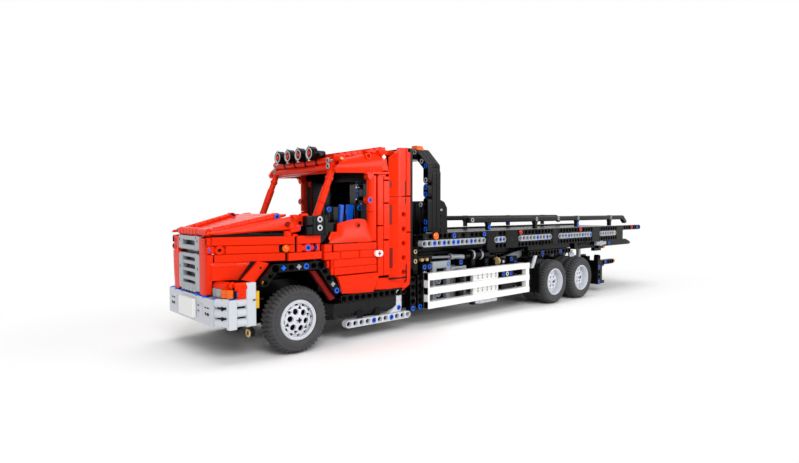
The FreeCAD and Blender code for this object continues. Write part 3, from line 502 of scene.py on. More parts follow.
def side_pins(places, outside=SIDE):
    """Pins pushed in from the left, at (x, z) places."""
    return [pin((x, -outside + 0.01, z), RIGHT) for x, z in places]


def bar(x0, x1, outline):
    """A bar along X from its (y, z) outline."""
    return plate(outline, (x0, 0, 0), RIGHT, BACK, x1 - x0)


def eight_sided(y, z, half_width, half_height, cut):
    """The outline of a bar whose four edges are cut off."""
    a, b = half_width, half_height
    corners = [
        (a, -b + cut), (a, b - cut), (a - cut, b), (cut - a, b),
        (-a, b - cut), (-a, cut - b), (cut - a, -b), (a - cut, -b),
    ]
    return [(y + s, z + t) for s, t in corners]


def reflector(x, z, radius, outside=SIDE):
    """A round domed reflector with a stepped rim, facing left."""
    r = radius
    profile = [
        (r * 0.86, 0.02), (r, -0.06), (r, -0.2), (r * 0.86, -0.27), (r * 0.7, -0.27), (r * 0.62, -0.23),
        (r * 0.3, -0.27), (r * 0.1, -0.28),
    ]
    return turned(profile, (x, -outside, z), RIGHT, 20)


grey_rows = ((20.75, 14), (36.95, 3), (43.4, 10), (55.6, 12), (70.7, 7))
# Black strips inside the grey rows, in line with their holes: painted shade in the holes.
build(
    "bed_row_cores", both([slab(x - 0.2, x + n - 0.8, -8.2, -7.9, 11.5, 12.0, 0.02) for x, n in grey_rows]), BLACK,
    "bed",
)
build(
    "bed_grey_rows", both([side_row(x, 11.75, n) for x, n in grey_rows]), GREY, "bed", ["bed_side_beams"],
)

black_rows = [side_row(x, 12.75, n) for x, n in ((20.9, 13), (33.9, 15), (48.9, 15), (63.9, 15), (78.9, 10))]
black_rows += [side_row(x, 10.75, n) for x, n in ((35.0, 15), (50.0, 15), (65.0, 15))]
for x0, x1 in ((34.5, 36.4), (39.4, 42.85), (53.0, 55.05), (67.15, 70.15), (77.25, 80.15)):
    black_rows.append(slab(x0, x1, -SIDE - 0.02, -7.55, 10.3, 13.2, 0.1))
black_rows += [slab(20.4, 35.0, -8.3, -7.55, 11.0, 11.3), slab(36.5, 77.3, -8.0, -7.55, 11.2, 12.3)]
foot = [(73.3, 10.35), (73.3, 9.15), (83.1, 9.15), (83.85, 9.45), (83.2, 9.85), (81.5, 10.35)]
black_rows += [side_plate(foot, SIDE, 0.92, 0.08), side_row(74.2, 9.72, 8, SIDE + 0.03, 0.3)]
tail = [slab(80.2, 88.1, y, y + 0.97, 12.5, 12.88) for y in np.arange(-7.3, 7.0, 0.985)]
build("bed_black_rows", both(black_rows) + tail, BLACK, "bed", ["bed_side_rows"])
build(
    "bed_foot_grey",
    both([slab(69.4, 73.25, -8.4, -7.6, 9.4, 10.2, 0.15), slab(70.5, 71.5, -8.45, -7.6, 9.3, 10.3)]), GREY, "bed",
)

bed_pins = [(x, 11.75) for x in (22.75, 24.75, 26.75, 27.75, 30.75, 37.95, 48.4, 51.4, 58.6, 63.6, 66.6)]
bed_pins += [(26.9, 12.75), (33.9, 12.75), (86.9, 12.75), (74.2, 9.7)]
build("bed_blue_pins", both(side_pins(bed_pins, SIDE + 0.02)), BLUE, "bed")
build("bed_tan_pins", both(side_pins([(76.7, 11.75)])), TAN, "bed")
build("bed_red_reflectors", both([reflector(x, 12.8, 0.48) for x in (43.2, 62.4, 83.75)]), RED_LENS, "bed")
build("bed_amber_reflectors", both([reflector(22.87, 12.8, 0.52)]), AMBER, "bed")
sockets = [
    (20.9, 12.75), (27.9, 12.75), (29.9, 12.75), (36.9, 12.75), (41.0, 11.75), (54.0, 11.75), (54.0, 12.75),
    (68.6, 11.75), (68.6, 10.75),
]
build("bed_black_pins", both(side_pins(sockets, SIDE + 0.03)), DARK, "bed")

planks = []
for i in range(15):
    y = -7.35 + 0.98 * i
    stagger = 4.0 * (i % 2)
    cuts = [27.5, 38.5 + stagger, 53.5 + stagger, 66.5 + stagger, 80.1]
    planks += [slab(a, b - 0.03, y, y + 0.95, 12.3, 12.9, 0.06) for a, b in zip(cuts[:-1], cuts[1:])]
build("bed_planks", planks, DARK, "bed", ["bed_deck"])

rails = []
for a, b in ((30.3, 48.1), (48.13, 61.9), (61.93, 80.3)):
    rails.append(bar(a, b, eight_sided(-8.05, 14.97, 0.44, 0.44, 0.2)))
post = [(-0.55, -14.6), (-0.3, -14.1), (-0.3, -13.3), (0.3, -13.3), (0.3, -14.1), (0.55, -14.6)]
for x in (35.2, 48.1, 61.9, 74.8):
    rails += [
        plate(post, (x, -8.42, 0), BACK, RIGHT, 0.72, 0.06), slab(x - 0.5, x + 0.5, -8.52, -7.58, 14.5, 15.45, 0.2),
    ]
hook = [(79.9, 15.35), (80.6, 15.3), (82.0, 14.1), (81.7, 13.75), (81.3, 13.7), (79.9, 14.7)]
rails.append(side_plate(hook, 8.45, 0.8, 0.08))
build("bed_rail_bars", both(rails), DARK, "bed", ["bed_rails"])
build("bed_rail_pins", both([pin((x, -8.53, 14.97), RIGHT) for x in (31.0, 48.1, 55.0, 61.9, 74.8)]), SILVER, "bed")
build("bed_post_pins", both([pin((61.9, -8.44, 13.8), RIGHT), pin((35.2, -8.44, 13.8), RIGHT)]), BLUE, "bed")


# Guard behind the cab
def upright(z, holes, front=21.35, y=-8.02, depth=0.85):
    """A beam that stands on the bed, its holes facing forwards."""
    return beam((front, y, z), UP, BACK, holes, depth)


LEAN = np.array([0.0, 0.707, 0.707])
guard = [
    upright(13.8, 5), upright(18.75, 2), upright(20.75, 3), beam((21.34, -7.9, 22.75), LEAN, BACK, 4, 0.86),
    beam((22.25, -8.02, 13.8), UP, BACK, 9, 0.8, False), beam((23.1, -8.02, 13.8), UP, BACK, 9, 0.85, False),
    beam((22.24, -7.9, 22.75), LEAN, BACK, 4, 0.8, False), beam((23.09, -7.9, 22.75), LEAN, BACK, 4, 0.86, False),
    slab(22.15, 23.95, -8.4, -7.65, 13.3, 22.6, 0.06),
]
top_beams = [
    beam((x, -5.5, 24.3), RIGHT, BACK, 12, depth)
    for x, depth in ((21.35, 0.85), (22.25, 0.8), (23.1, 0.85))
]
panel = [slab(21.55, 22.1, -7.5, 7.5, 12.95, 17.8, 0.1)]
panel += [slab(21.4, 21.6, y, y + 0.25, 13.2, 17.5) for y in np.arange(-6.9, 6.9, 1.25)]
build("guard_beams", both(guard) + top_beams + panel, BLACK, "bed", ["headboard"])
guard_grey = [pin((21.34, -7.9 + 0.707 * i, 22.75 + 0.707 * i), BACK) for i in (1, 3)]
guard_grey += [pin((21.33, -8.02, 20.75), BACK), pin((21.33, -7.0, 17.3), BACK)]
build("guard_grey_pins", both(guard_grey), SILVER, "bed")
guard_blue = [pin((21.34, -8.02, z), BACK) for z in (22.75, 19.75, 18.75, 14.8, 13.8)]
build("guard_blue_pins", both(guard_blue), BLUE, "bed")
build("beacon_bases", both([slab(21.35, 22.95, -6.3, -4.8, 24.8, 25.12, 0.05)]), BLACK, "bed")
beacons = []
for inset, z0, z1 in ((0.05, 25.1, 25.5), (0.14, 25.45, 25.8)):
    beacons.append(slab(21.35 + inset, 22.9 - inset, -6.25 + inset, -4.75 - inset, z0, z1, 0.1))
build("beacon_lenses", both(beacons), AMBER, "bed", ["beacon_bar"])

housing = [(24.0, 12.95), (26.6, 12.95), (26.5, 16.9), (25.9, 17.75), (24.9, 18.1), (24.0, 17.3)]
winch = [
    side_plate(housing, 7.5, 0.9, 0.15), beam((24.6, -7.62, 13.6), UP, RIGHT, 3, 0.15),
    beam((24.4, -3.1, 13.5), UP, RIGHT, 3, 0.85), beam((25.4, -3.09, 13.5), UP, RIGHT, 3, 0.83),
]
build("winch_housings", both(winch), BLACK, "bed", ["winch_frame"])
build(
    "winch_grey_bits",
    both([slab(24.15, 24.5, -7.58, -7.4, 14.2, 17.0, 0.04), slab(24.2, 25.3, -7.6, -7.4, 16.4, 16.7, 0.04)]),
    SILVER, "bed",
)
wound = [(0.3, -3.05), (0.3, -2.1), (1.0, -2.08), (1.0, -1.82)]
wound += [(0.62 + 0.05 * (-1) ** i, -1.8 + 0.12 * i) for i in range(31)]
wound += [(1.0, 1.82), (1.0, 2.08), (0.3, 2.1), (0.3, 3.05)]
build(
    "winch_spool", [turned(wound, (25.2, 0, 14.6), RIGHT, 24)], SILVER, "winch_drum", ["winch_drum"],
)


# Hood: its side leaves the grille at half a width of 5.5 holes and flares by FLARE holes per hole,
# which makes it STRETCH times as long as its X
FLARE = 0.3614
STRETCH = 1.0633
SPLAY = np.array([1.0, -FLARE, 0.0]) / STRETCH
INWARD = np.array([FLARE, 1.0, 0.0]) / STRETCH


def hood_place(x, z, out=0.0):
    """A place on the hood's left side, `out` proud of it."""
    return np.array([x, -5.5 - FLARE * (x + 8.4) - out, z])


def hood_bar(x0, x1, z0, z1, out=0.0, depth=0.9, edge=0.05):
    """A long smooth bar along the splayed side, its outer face `out` proud of it."""
    length = (x1 - x0) * STRETCH
    outline = [(0, 0), (length, 0), (length, z1 - z0), (0, z1 - z0)]
    return plate(outline, hood_place(x0, z1, out), SPLAY, INWARD, depth, edge)


def loft(sections):
    """A solid between closed outlines with the same number of corners, with flat end caps."""
    rings = [np.asarray(s, float) for s in sections]
    n = len(rings[0])
    faces = grid_faces(len(rings), n, wrap_columns=True)
    faces.append(tuple(range(n)))
    faces.append(tuple(range((len(rings) - 1) * n, len(rings) * n)))
    return shape(np.concatenate(rings), faces)


rows = [
    hood_bar(-9.05, -8.62, 12.62, 13.5, -0.05), hood_bar(-8.58, -0.1, 12.61, 13.53),
    hood_bar(-7.22, -1.78, 11.68, 12.55, 0.0), hood_bar(-0.66, -0.1, 11.68, 12.55),
    hood_bar(-8.34, -1.12, 10.74, 11.63, 0.0), hood_bar(-8.2, -0.3, 10.8, 13.4, -0.5, 0.4),
    ring(hood_place(-7.88, 12.12, 0.2), INWARD, 0.5, 0.19, 0.6, 24),
    ring(hood_place(-7.88, 12.12, 0.24), INWARD, 0.4, 0.3, 0.3, 24),
    hood_bar(-9.08, -8.78, 11.75, 12.5, 0.1, 0.6, 0.12), hood_bar(-8.7, -8.3, 11.75, 12.5, 0.08, 0.6, 0.12),
    tube(hood_place(-9.0, 12.12, -0.3), hood_place(-8.3, 12.12, -0.3), 0.36),
]
build("hood_rows", both(rows), RED, "chassis", ["hood_sides"])
# Black fillers between the hood's row pieces, in the ring's hole and under the fairing: painted shade.
hood_shade_fill = [
    hood_bar(-1.76, -0.68, 11.72, 12.52, -0.35, 0.3),
    tube(hood_place(-7.88, 12.12, -0.25), hood_place(-7.8, 12.12, -0.5), 0.3),
    hood_bar(-8.75, -8.35, 10.7, 11.6, -0.3, 0.4),
]
under = [(-8.2, -5.3), (-0.1, -8.2), (-0.1, -6.4), (-8.2, -4.2)]
hood_shade_fill.append(flat_plate(under, 13.55, 0.35))
build("hood_gap_shade", both(hood_shade_fill), BLACK)
build("hood_blue_pins", both([tube(hood_place(-8.79, 12.12, -0.2), hood_place(-8.69, 12.12, -0.2), 0.39)]), BLUE)
lamp_face = [(0.06, 0.1), (0.42, 0.1), (0.44, -0.1), (0.36, -0.22), (0.3, -0.12), (0.18, -0.16), (0.06, -0.24)]
build("hood_side_lamps", both([turned(lamp_face, hood_place(-1.1, 12.14, 0.1), INWARD, 20)]), AMBER)


def fairing():
    """The bonnet's flank: rows of points from its lower edge up to the ridge.

    Between both edges it swells outwards and upwards by a half sine wave.
    """
    low = np.array([
        (-9.07, -5.15, 13.79), (-7.71, -5.62, 13.81), (-5.72, -6.31, 13.94), (-3.68, -7.03, 14.11),
        (-1.58, -7.76, 14.18), (-0.55, -8.12, 14.22), (0.05, -8.33, 14.5), (0.31, -8.42, 14.93),
    ])
    high = np.array([
        (-8.85, -4.95, 13.84), (-7.7, -4.5, 13.98), (-5.7, -5.1, 14.42), (-3.97, -5.62, 14.82),
        (-1.9, -6.28, 15.2), (-0.5, -6.7, 15.45), (0.2, -6.9, 15.58), (0.5, -7.0, 15.66),
    ])
    s = np.linspace(0, len(low) - 1, 43)
    k = np.minimum(s.astype(int), len(low) - 2)
    w = (s - k)[:, None]
    a = low[k] * (1 - w) + low[k + 1] * w
    b = high[k] * (1 - w) + high[k + 1] * w
    t = np.linspace(0, 1, 11)[None, :, None]
    grid = a[:, None] * (1 - t) + b[:, None] * t
    bulge = np.sin(math.pi * t[..., 0])
    grid[..., 2] += 0.08 * bulge
    grid[..., 1] -= 0.08 * bulge
    return sheet(grid[:, ::-1], 0.22)


RIDGE_FRONT = np.array([-7.85, -4.0, 14.1])
RIDGE_REAR = np.array([-1.35, -5.97, 15.66])
way = (RIDGE_REAR - RIDGE_FRONT) / 7
flank = [fairing()]
for i in range(7):
    flank.append(tube(RIDGE_FRONT + way * (i + 0.045), RIDGE_FRONT + way * (i + 0.955), 0.46, 20))
flank += [
    tube(RIDGE_FRONT + way * 0.1, RIDGE_REAR, 0.38, 12),
    ring(RIDGE_REAR + (0.15, -0.48, 0.05), RIGHT, 0.48, 0.36, 0.95, 24),
    slab(0.45, 0.6, -7.9, -6.6, 14.6, 15.5, 0.04),
]
build("hood_flanks", both(flank), RED, "chassis", ["hood_top"])
# A darker red disc on each flank: painted shade of a recess.
build("flank_recess_shade", both([tube((-0.6, -7.98, 14.86), (-0.58, -7.6, 14.7), 0.38, 20)]), SHADED_RED)


def hood_deck():
    """Cross planks between the ridges, each one hole wide and a little apart from the next."""
    planks = []
    for i in range(9):
        x = -7.95 + 0.93 * i
        z = 13.75 + 0.225 * i
        half = 3.6 + 0.27 * i
        outline = [
            (x, z), (x + 0.9, z + 0.22), (x + 0.88, z + 0.45), (x + 0.8, z + 0.5), (x + 0.08, z + 0.32),
            (x + 0.02, z + 0.26),
        ]
        planks.append(side_plate(outline, half, half - 0.02, 0.03))
    return planks


deck = both(hood_deck())
deck += [slab(-8.7, -7.9, y, y + 0.9, 13.5, 14.0, 0.1) for y in (-3.7, -1.2, 1.1, 2.9)]
roller = [(0.2, 0.0), (0.4, 0.0), (0.48, 0.08), (0.48, 0.74), (0.4, 0.82), (0.2, 0.82)]
for i in range(6):
    deck.append(turned(roller, (ROLLER_X, -2.0 + 0.96 * i, ROLLER_Z), RIGHT, 20))
deck.append(tube((ROLLER_X, -4.75, ROLLER_Z), (ROLLER_X, -2.15, ROLLER_Z), 0.45, 20))
# The shaft is darkened so that the gaps between the rollers show dark: painted shade.
build("roller_shaft_shade", [tube((ROLLER_X, -4.4, ROLLER_Z), (ROLLER_X, 4.6, ROLLER_Z), 0.3)], SHADED_RED)
build("hood_planks", deck, RED)

# Cowl: lugs, cylinders, cheeks and the mirror blocks
lug = [
    (-0.15, 15.95), (0.5, 16.0), (1.15, 15.85), (1.5, 15.45), (1.5, 14.95), (1.3, 14.6), (0.95, 14.55),
    (0.5, 14.95), (0.35, 15.3),
]
lugs = [
    side_plate(lug, 8.0, 0.6, 0.06), tube((1.25, -7.4, 15.7), (2.25, -7.4, 15.78), 0.4, 20),
    tube((-0.6, -8.15, 14.24), (0.62, -8.2, 14.46), 0.42, 20),
    tube((-0.7, -7.9, 13.5), (-0.7, -7.9, 14.1), 0.44, 20), tube((0.1, -7.9, 13.45), (0.1, -7.9, 13.75), 0.4, 20),
    slab(-0.9, 0.6, -8.1, -7.4, 13.4, 13.7, 0.04),
]
build("cowl_lugs", both(lugs), RED)
blue = [
    tube((0.62, -8.2, 14.46), (0.72, -8.2, 14.48), 0.36, 16), pin(RIDGE_REAR + (0.15, -0.5, 0.05), RIGHT),
    tube((0.95, -7.5, 14.3), (1.05, -7.5, 14.3), 0.3),
]
build("cowl_blue_pins", both(blue), BLUE)
# A black disc in each lug's hole: painted shade.
build("lug_hole_shade", both([tube((0.93, -8.02, 15.03), (0.93, -7.9, 15.03), 0.24, 16)]), BLACK)

cheek = [
    slab(0.26, 3.45, -SIDE, -7.55, 12.6, 13.54, 0.05), slab(0.26, 0.85, -SIDE, -7.55, 11.66, 12.54, 0.05),
    ring((1.7, -SIDE - 0.02, 12.1), RIGHT, 0.5, 0.36, 0.8, 24),
    slab(-0.87, 3.6, -SIDE + 0.02, -7.55, 10.72, 11.6, 0.05), tube((0.8, -8.2, 12.1), (1.3, -8.2, 12.1), 0.34, 16),
    tube((2.1, -8.2, 12.1), (2.5, -8.2, 12.1), 0.36, 16), slab(0.3, 3.55, -7.8, -7.5, 10.8, 13.5),
    slab(2.95, 3.4, -8.4, -7.7, 11.66, 12.54, 0.05),
]
build("cowl_cheeks", both(cheek), RED, "chassis", ["cowl"])
build(
    "cheek_blue_pins",
    both([pin((1.7, -SIDE - 0.03, 12.1), RIGHT), tube((2.92, -8.2, 12.1), (3.02, -8.2, 12.1), 0.3, 16)]), BLUE,
)
core = [
    slab(0.6, 3.0, -7.4, 0.0, 13.5, 15.35, 0.1), slab(-0.1, 0.3, -8.2, -7.5, 10.8, 13.5),
    side_plate(
        [(3.3, 12.6), (4.1, 12.6), (4.9, 13.6), (4.9, 15.6), (4.2, 15.7), (4.0, 13.6), (3.4, 13.5)], 8.0, 0.7,
    ),
    slab(2.45, 3.0, -8.0, -7.55, 11.66, 12.54), slab(-1.1, -0.88, -8.1, -7.5, 10.75, 11.6),
]
build("cowl_core", both(core), BLACK)
mirror = slabs(
    (1.15, 2.05, -9.1, -8.1, 13.62, 14.64, 0.12), (1.15, 2.05, -9.1, -8.1, 14.7, 15.84, 0.12),
    (2.05, 4.0, -9.05, -8.5, 13.6, 15.85, 0.06), (3.6, 4.0, -9.15, -8.3, 13.6, 15.9, 0.05),
)
mirror += [beam((2.95, -9.12, 14.43), UP, RIGHT, 2, 0.3), slab(2.05, 4.0, -8.6, -7.6, 13.62, 14.4, 0.06)]
build("mirror_blocks", both(mirror), BLACK, "chassis", ["mirror_brackets"])
build("mirror_pins", both([pin((2.95, -9.14, 14.43), RIGHT), pin((2.95, -9.14, 15.43), RIGHT)]), PALE)

# Grille
frames = []
for z0, z1 in ((11.95, 13.56), (7.3, 11.55)):
    outline = [(1.95, z0), (3.0, z0 + 0.06), (3.12, z0 + 0.3), (3.12, z1 - 0.3), (2.95, z1), (1.95, z1)]
    frames.append(plate(outline, (-9.12, 0, 0), RIGHT, BACK, 0.75, 0.08))
grille = both(frames)
for z, radius in ((13.3, 0.27), (12.24, 0.3), (11.33, 0.25), (10.49, 0.23), (9.6, 0.21), (8.64, 0.26)):
    grille += [
        tube((-8.85, -2.1, z), (-8.85, 2.1, z), radius, 20),
        ring((-8.85, -1.95, z), RIGHT, radius + 0.06, radius - 0.1, 0.4),
        slab(-8.85, -8.6, -2.1, 2.1, z - radius, z + radius, 0.03),
    ]
grille += [tube((-8.85, y, 7.25), (-8.85, y, 8.1), 0.42, 20) for y in np.arange(-1.7, 1.8, 0.85)]
grille += [slab(-9.05, -8.4, -2.1, 2.1, 13.4, 13.56, 0.04)]
build("grille_bars", grille, GREY, "chassis", ["grille"])
# Black marks on the grille's frames and a black plate behind its bars: painted shade in its notches and slots.
marks = [slab(-9.15, -9.1, y, y + 0.14, z, z + 0.34, 0.02) for y in (-2.8, 2.6) for z in (12.9, 9.75)]
marks += [slab(-9.15, -9.1, -2.45, -2.33, 13.3, 13.5, 0.02)]
build("grille_back_shade", [slab(-8.5, -8.3, -3.0, 3.0, 7.4, 13.5)] + marks, BLACK)
# Red parts behind the grille's slots, darkened: red parts with painted shade.
red_light = [slab(-8.56, -8.45, -1.6, -0.7, z, z + 0.5) for z in (10.65, 9.75, 8.8)]
red_light += [slab(-8.56, -8.45, 0.6, 1.2, 9.8, 10.4)]
build("grille_red_light", red_light, SHADED_RED)


def column_plan(z, out, back):
    """The grille column's plan at one height: a flat front that rolls over into its side."""
    face = -9.1
    return [
        (back, -3.2, z), (face + 0.06, -3.2, z), (face, -3.28, z), (face, -4.1, z),
        (face + 0.05, -4.15, z), (face, -4.2, z), (face, -out + 0.5, z), (face + 0.03, -out + 0.25, z),
        (face + 0.1, -out + 0.08, z), (face + 0.22, -out, z), (back, -out - 0.05, z),
    ]


plans = (
    (7.15, 4.75, -8.5), (7.3, 4.95, -8.48), (9.0, 5.2, -8.45), (11.6, 5.35, -8.4), (11.68, 5.0, -8.65),
    (13.2, 5.02, -8.65), (13.38, 4.85, -8.75),
)
column = [
    loft([column_plan(z, out, back) for z, out, back in plans]), slab(-8.9, -8.3, -5.2, -4.6, 11.7, 13.3, 0.08),
]
build("grille_columns_red", both(column), RED, "chassis", ["grille_columns"])
knobs = [ring((-9.14, 4.2, z), BACK, 0.36, 0.18, 0.2) for z in (12.9, 12.1)]
build("column_pins", knobs, DEEP_RED)
# Thin black marks in the column's notches: painted shade.
build(
    "column_notch_shade",
    both([slab(-9.12, -8.95, -5.12, -5.02, 12.7, 13.35, 0.02), slab(-9.1, -8.95, -5.3, -5.05, 12.0, 12.3, 0.02)]),
    BLACK,
)
build("column_feet", both([tube((-8.9, -y, 6.9), (-8.9, -y, 7.15), 0.34) for y in (2.2, 4.2)]), BLUE)
# A black block in the gap beside the column: painted shade.
build("column_gap_shade", both([slab(-8.45, -8.1, -5.3, -4.6, 7.6, 11.6)]), BLACK)


# Fender, pod and headlamps
def fender():
    """The panel over the bumper: straight below, rolled in at the top, its rear edge slanted."""
    rows = []
    for z, inset in ((10.82, 0.35), (10.68, 0.14), (10.45, 0.03), (10.0, 0.0), (9.4, 0.0), (8.8, 0.02)):
        rear = -4.75 - 0.28 * (10.8 - z)
        x = np.linspace(-8.65, rear, 12)
        rows.append(np.stack([x, -5.5 - FLARE * (x + 8.4) + inset - 0.05, np.full(12, z)], -1))
    return sheet(np.array(rows), 0.4)


panel = [fender(), tube(hood_place(-8.3, 10.38, -0.24), hood_place(-6.1, 10.38, -0.24), 0.3, 20)]
slope = [(-4.23, 10.84), (-3.02, 10.54), (-3.05, 10.3), (-4.73, 8.46), (-6.12, 8.91)]
panel.append(side_plate(slope, 7.75, 0.9, 0.06))
pod = [
    (-8.2, -4.8), (-8.15, -5.6), (-7.8, -6.6), (-7.4, -7.7), (-6.9, -8.3), (-6.05, -8.35), (-6.05, -7.4),
    (-6.6, -6.2), (-7.2, -4.8),
]
panel += [
    flat_plate(pod, 8.0, 0.3, 0.06), tube((-7.95, -5.0, 8.22), (-7.5, -7.3, 8.26), 0.5, 20),
    tube((-7.2, -7.8, 8.2), (-5.85, -8.0, 8.2), 0.5, 20),
    turned([(0.2, 0.0), (0.4, 0.08), (0.44, 0.3), (0.3, 0.4)], (-7.4, -7.45, 8.36), (0.5, -0.86, 0.0), 20),
    slab(-7.0, -6.05, -8.42, -7.4, 6.95, 8.2, 0.1), ring((-6.95, -6.04, 10.15), INWARD, 0.22, 0.08, 0.2),
]
build("fender_panels", both(panel), RED, "chassis", ["front_fenders"])
small_pin = [(0.12, 0.3), (0.12, 0.0), (0.2, -0.02), (0.26, 0.02), (0.26, 0.1)]
build("fender_pins", both([turned(small_pin, (-7.03, -8.1, 7.45), BACK, 16)]), BLUE)
# Black fillers in the slope panel's hole, between the pod's tubes and in the gap before the slope panel: painted
# shade.
fender_shade_fill = [
    tube((-4.03, -7.77, 10.08), (-4.0, -7.6, 10.08), 0.15), slab(-7.35, -7.05, -8.15, -7.0, 7.0, 8.2),
    side_plate([(-4.7, 10.8), (-4.25, 10.8), (-5.9, 8.8), (-6.3, 8.8)], 7.3, 0.5, EDGE),
]
build("fender_gap_shade", both(fender_shade_fill), BLACK)
lens = [(0.1, 0.0), (0.3, -0.04), (0.44, 0.06), (0.5, 0.25), (0.5, 0.95), (0.4, 1.0)]
clear = [turned(lens, (-7.98, -5.35, 7.02), UP, 20), turned(lens, (-7.95, -6.1, 7.02), UP, 20)]
build("headlamp_lenses", both(clear), CLEAR, "chassis", ["headlamps"])
build(
    "headlamp_core",
    both([slab(-7.6, -7.0, -6.9, -5.0, 7.0, 7.95), tube((-7.98, -5.35, 7.1), (-7.98, -5.35, 7.7), 0.2)]), SILVER,
)
stacked = [(0.3, 0.0), (0.46, 0.05), (0.46, 0.4), (0.42, 0.45), (0.46, 0.5), (0.46, 0.9), (0.4, 0.94)]
amber = [turned(stacked, (x, y, 7.02), UP, 20) for x, y in ((-7.75, -6.95), (-7.5, -7.6))]
build("indicator_lenses", both(amber), AMBER)

# Bumper and plate
bumper = [slab(-9.1, -8.3, 0.0, 6.6, z, z + 0.985, 0.025) for z in (3.95, 4.95, 5.95)]
for z in (4.36, 6.55):
    bumper += [tube((-8.66, -6.6, z), (-7.75, -8.0, z), 0.46, 20), tube((-7.1, -8.0, z), (-6.0, -8.0, z), 0.45, 20)]
bumper += [
    tube((-8.64, -6.6, 5.44), (-7.72, -7.99, 5.44), 0.47, 20),
    tube((-7.1, -7.99, 5.44), (-6.0, -7.99, 5.44), 0.46, 20),
]
corner = [(-8.12, -8.0), (-8.02, -8.42), (-7.6, -8.49), (-7.15, -8.46), (-7.05, -8.0), (-7.3, -7.5), (-7.9, -7.5)]
bumper.append(flat_plate(corner, 3.72, 3.2, 0.08))
for z0, z1 in ((3.86, 6.6), (6.78, 8.62)):
    bumper.append(slab(-6.03, -4.9, -8.49, -7.5, z0, z1, 0.1))
bumper.append(slab(-6.0, -5.3, -8.45, -7.6, 6.4, 7.0))
bumper = both(bumper)
bumper[0:0] = [
    slab(-8.35, -8.1, -6.3, 6.3, 4.0, 6.9), slab(-8.1, -6.7, 2.5, 3.5, 6.0, 6.9),
    slab(-8.1, -6.7, -3.5, -2.5, 6.0, 6.9),
]
build("bumper_rows", bumper, PALE, "chassis", ["bumper"])
# Black marks on the bumper's face and black blocks behind its corner that show through the gaps: painted shade in
# the slots.
marks = [
    slab(-9.13, -9.08, -b, -a, z, z + 0.14, 0.02)
    for a, b in ((2.6, 3.0), (4.6, 5.0), (5.2, 5.7)) for z in (5.2, 5.8)
]
marks += [slab(-9.13, -9.08, -b, -a, 5.05, 5.27, 0.02) for a, b in ((4.7, 5.0), (5.15, 5.75))]
seams = [slab(-9.115, -9.08, -4.0, -3.96, 4.9, 6.2, 0.01), slab(-9.115, -9.08, -4.0, -2.9, 6.16, 6.2, 0.01)]
behind = [
    slab(-8.45, -7.9, -7.6, -6.4, 4.0, 6.9),
    flat_plate([(-8.5, -6.6), (-7.75, -7.85), (-7.2, -7.7), (-7.9, -6.5)], 4.0, 2.9),
    slab(-7.1, -6.0, -7.9, -7.5, 4.0, 6.9),
]
build("bumper_slot_shade", both(marks + behind), BLACK)
build("bumper_seams", both(seams), SILVER)
tops = [
    tube((x, -y, 6.9), (x, -y, 7.0), 0.32)
    for x, y in ((-8.75, 6.3), (-8.75, 4.6), (-8.75, 2.7), (-8.75, 0.8), (-7.6, 7.95))
]
build("bumper_blue_pins", both(tops), BLUE)
build(
    "blank_plate", [slab(-9.55, -9.14, -2.2, 2.2, 4.4, 6.5, 0.06)], WHITE, "chassis", ["number_plate"],
)
yellow = [
    slab(-4.85, -4.4, -8.2, -7.3, 5.7, 7.6, 0.05),
    side_plate([(-4.9, 6.8), (-4.3, 6.8), (-4.3, 7.6), (-4.9, 7.6)], 7.5, 4.0),
    side_plate([(-3.9, 8.3), (-3.3, 8.0), (-2.7, 8.6), (-2.5, 9.2), (-2.9, 9.35), (-3.7, 9.0)], 6.7, 0.6, 0.1),
]
build("yellow_links", both(yellow), YELLOW)
build(
    "step_tubes",
    both([
        tube((-5.2, -7.0, 2.85), (-4.6, -7.0, 2.85), 0.5, 16), slab(-5.1, -4.7, -7.3, -6.7, 2.9, 4.4),
        slab(-6.4, -4.7, -7.3, -6.7, 3.7, 4.4),
    ]),
    BLACK,
)
build(
    "step_tube_ends",
    both([turned([(0.25, 0.1), (0.3, 0.0), (0.48, 0.0), (0.5, 0.15)], (-5.3, -7.0, 2.85), BACK, 16)]), TAN,
)


# Doors
def doors(name, items, material, replaces=False):
    """The left door's pieces and their mirror images, each riding on its own door."""
    for side in ("left", "right"):
        door = "door_" + side
        build(name + "_" + side, on_side(items, side), material, door, [door] if replaces else [])


leaf = []
for z, spans in (
    (11.45, ((3.97, 5.08), (5.32, 12.05))),
    (10.48, ((3.97, 6.16), (6.4, 9.1), (9.36, 12.05))),
    (9.48, ((4.35, 4.62), (4.94, 5.06), (5.32, 12.05))),
    (8.5, ((5.45, 10.0), (10.02, 12.05))),
):
    leaf += [slab(a, b, -SIDE, -7.65, z + 0.02, z + 0.92, 0.06) for a, b in spans]
leaf += [slab(5.0, 12.0, -8.3, -7.7, 8.6, 12.3), slab(4.0, 6.0, -8.3, -7.7, 10.6, 12.3)]


def bowed(outline_low, outline_high, bow, y0, thickness=0.5):
    """A panel between two lines of (x, z) places.

    At the share t of the way from the low line to the high one it leans in by bow times t squared.
    """
    t = np.linspace(0, 1, 9)[:, None, None]
    grid = outline_low[None] * (1 - t) + outline_high[None] * t
    y = np.broadcast_to(-y0 + bow * t ** 2, grid.shape[:2] + (1,))
    return sheet(np.concatenate([grid[..., :1], y, grid[..., 1:]], -1)[::-1], thickness)


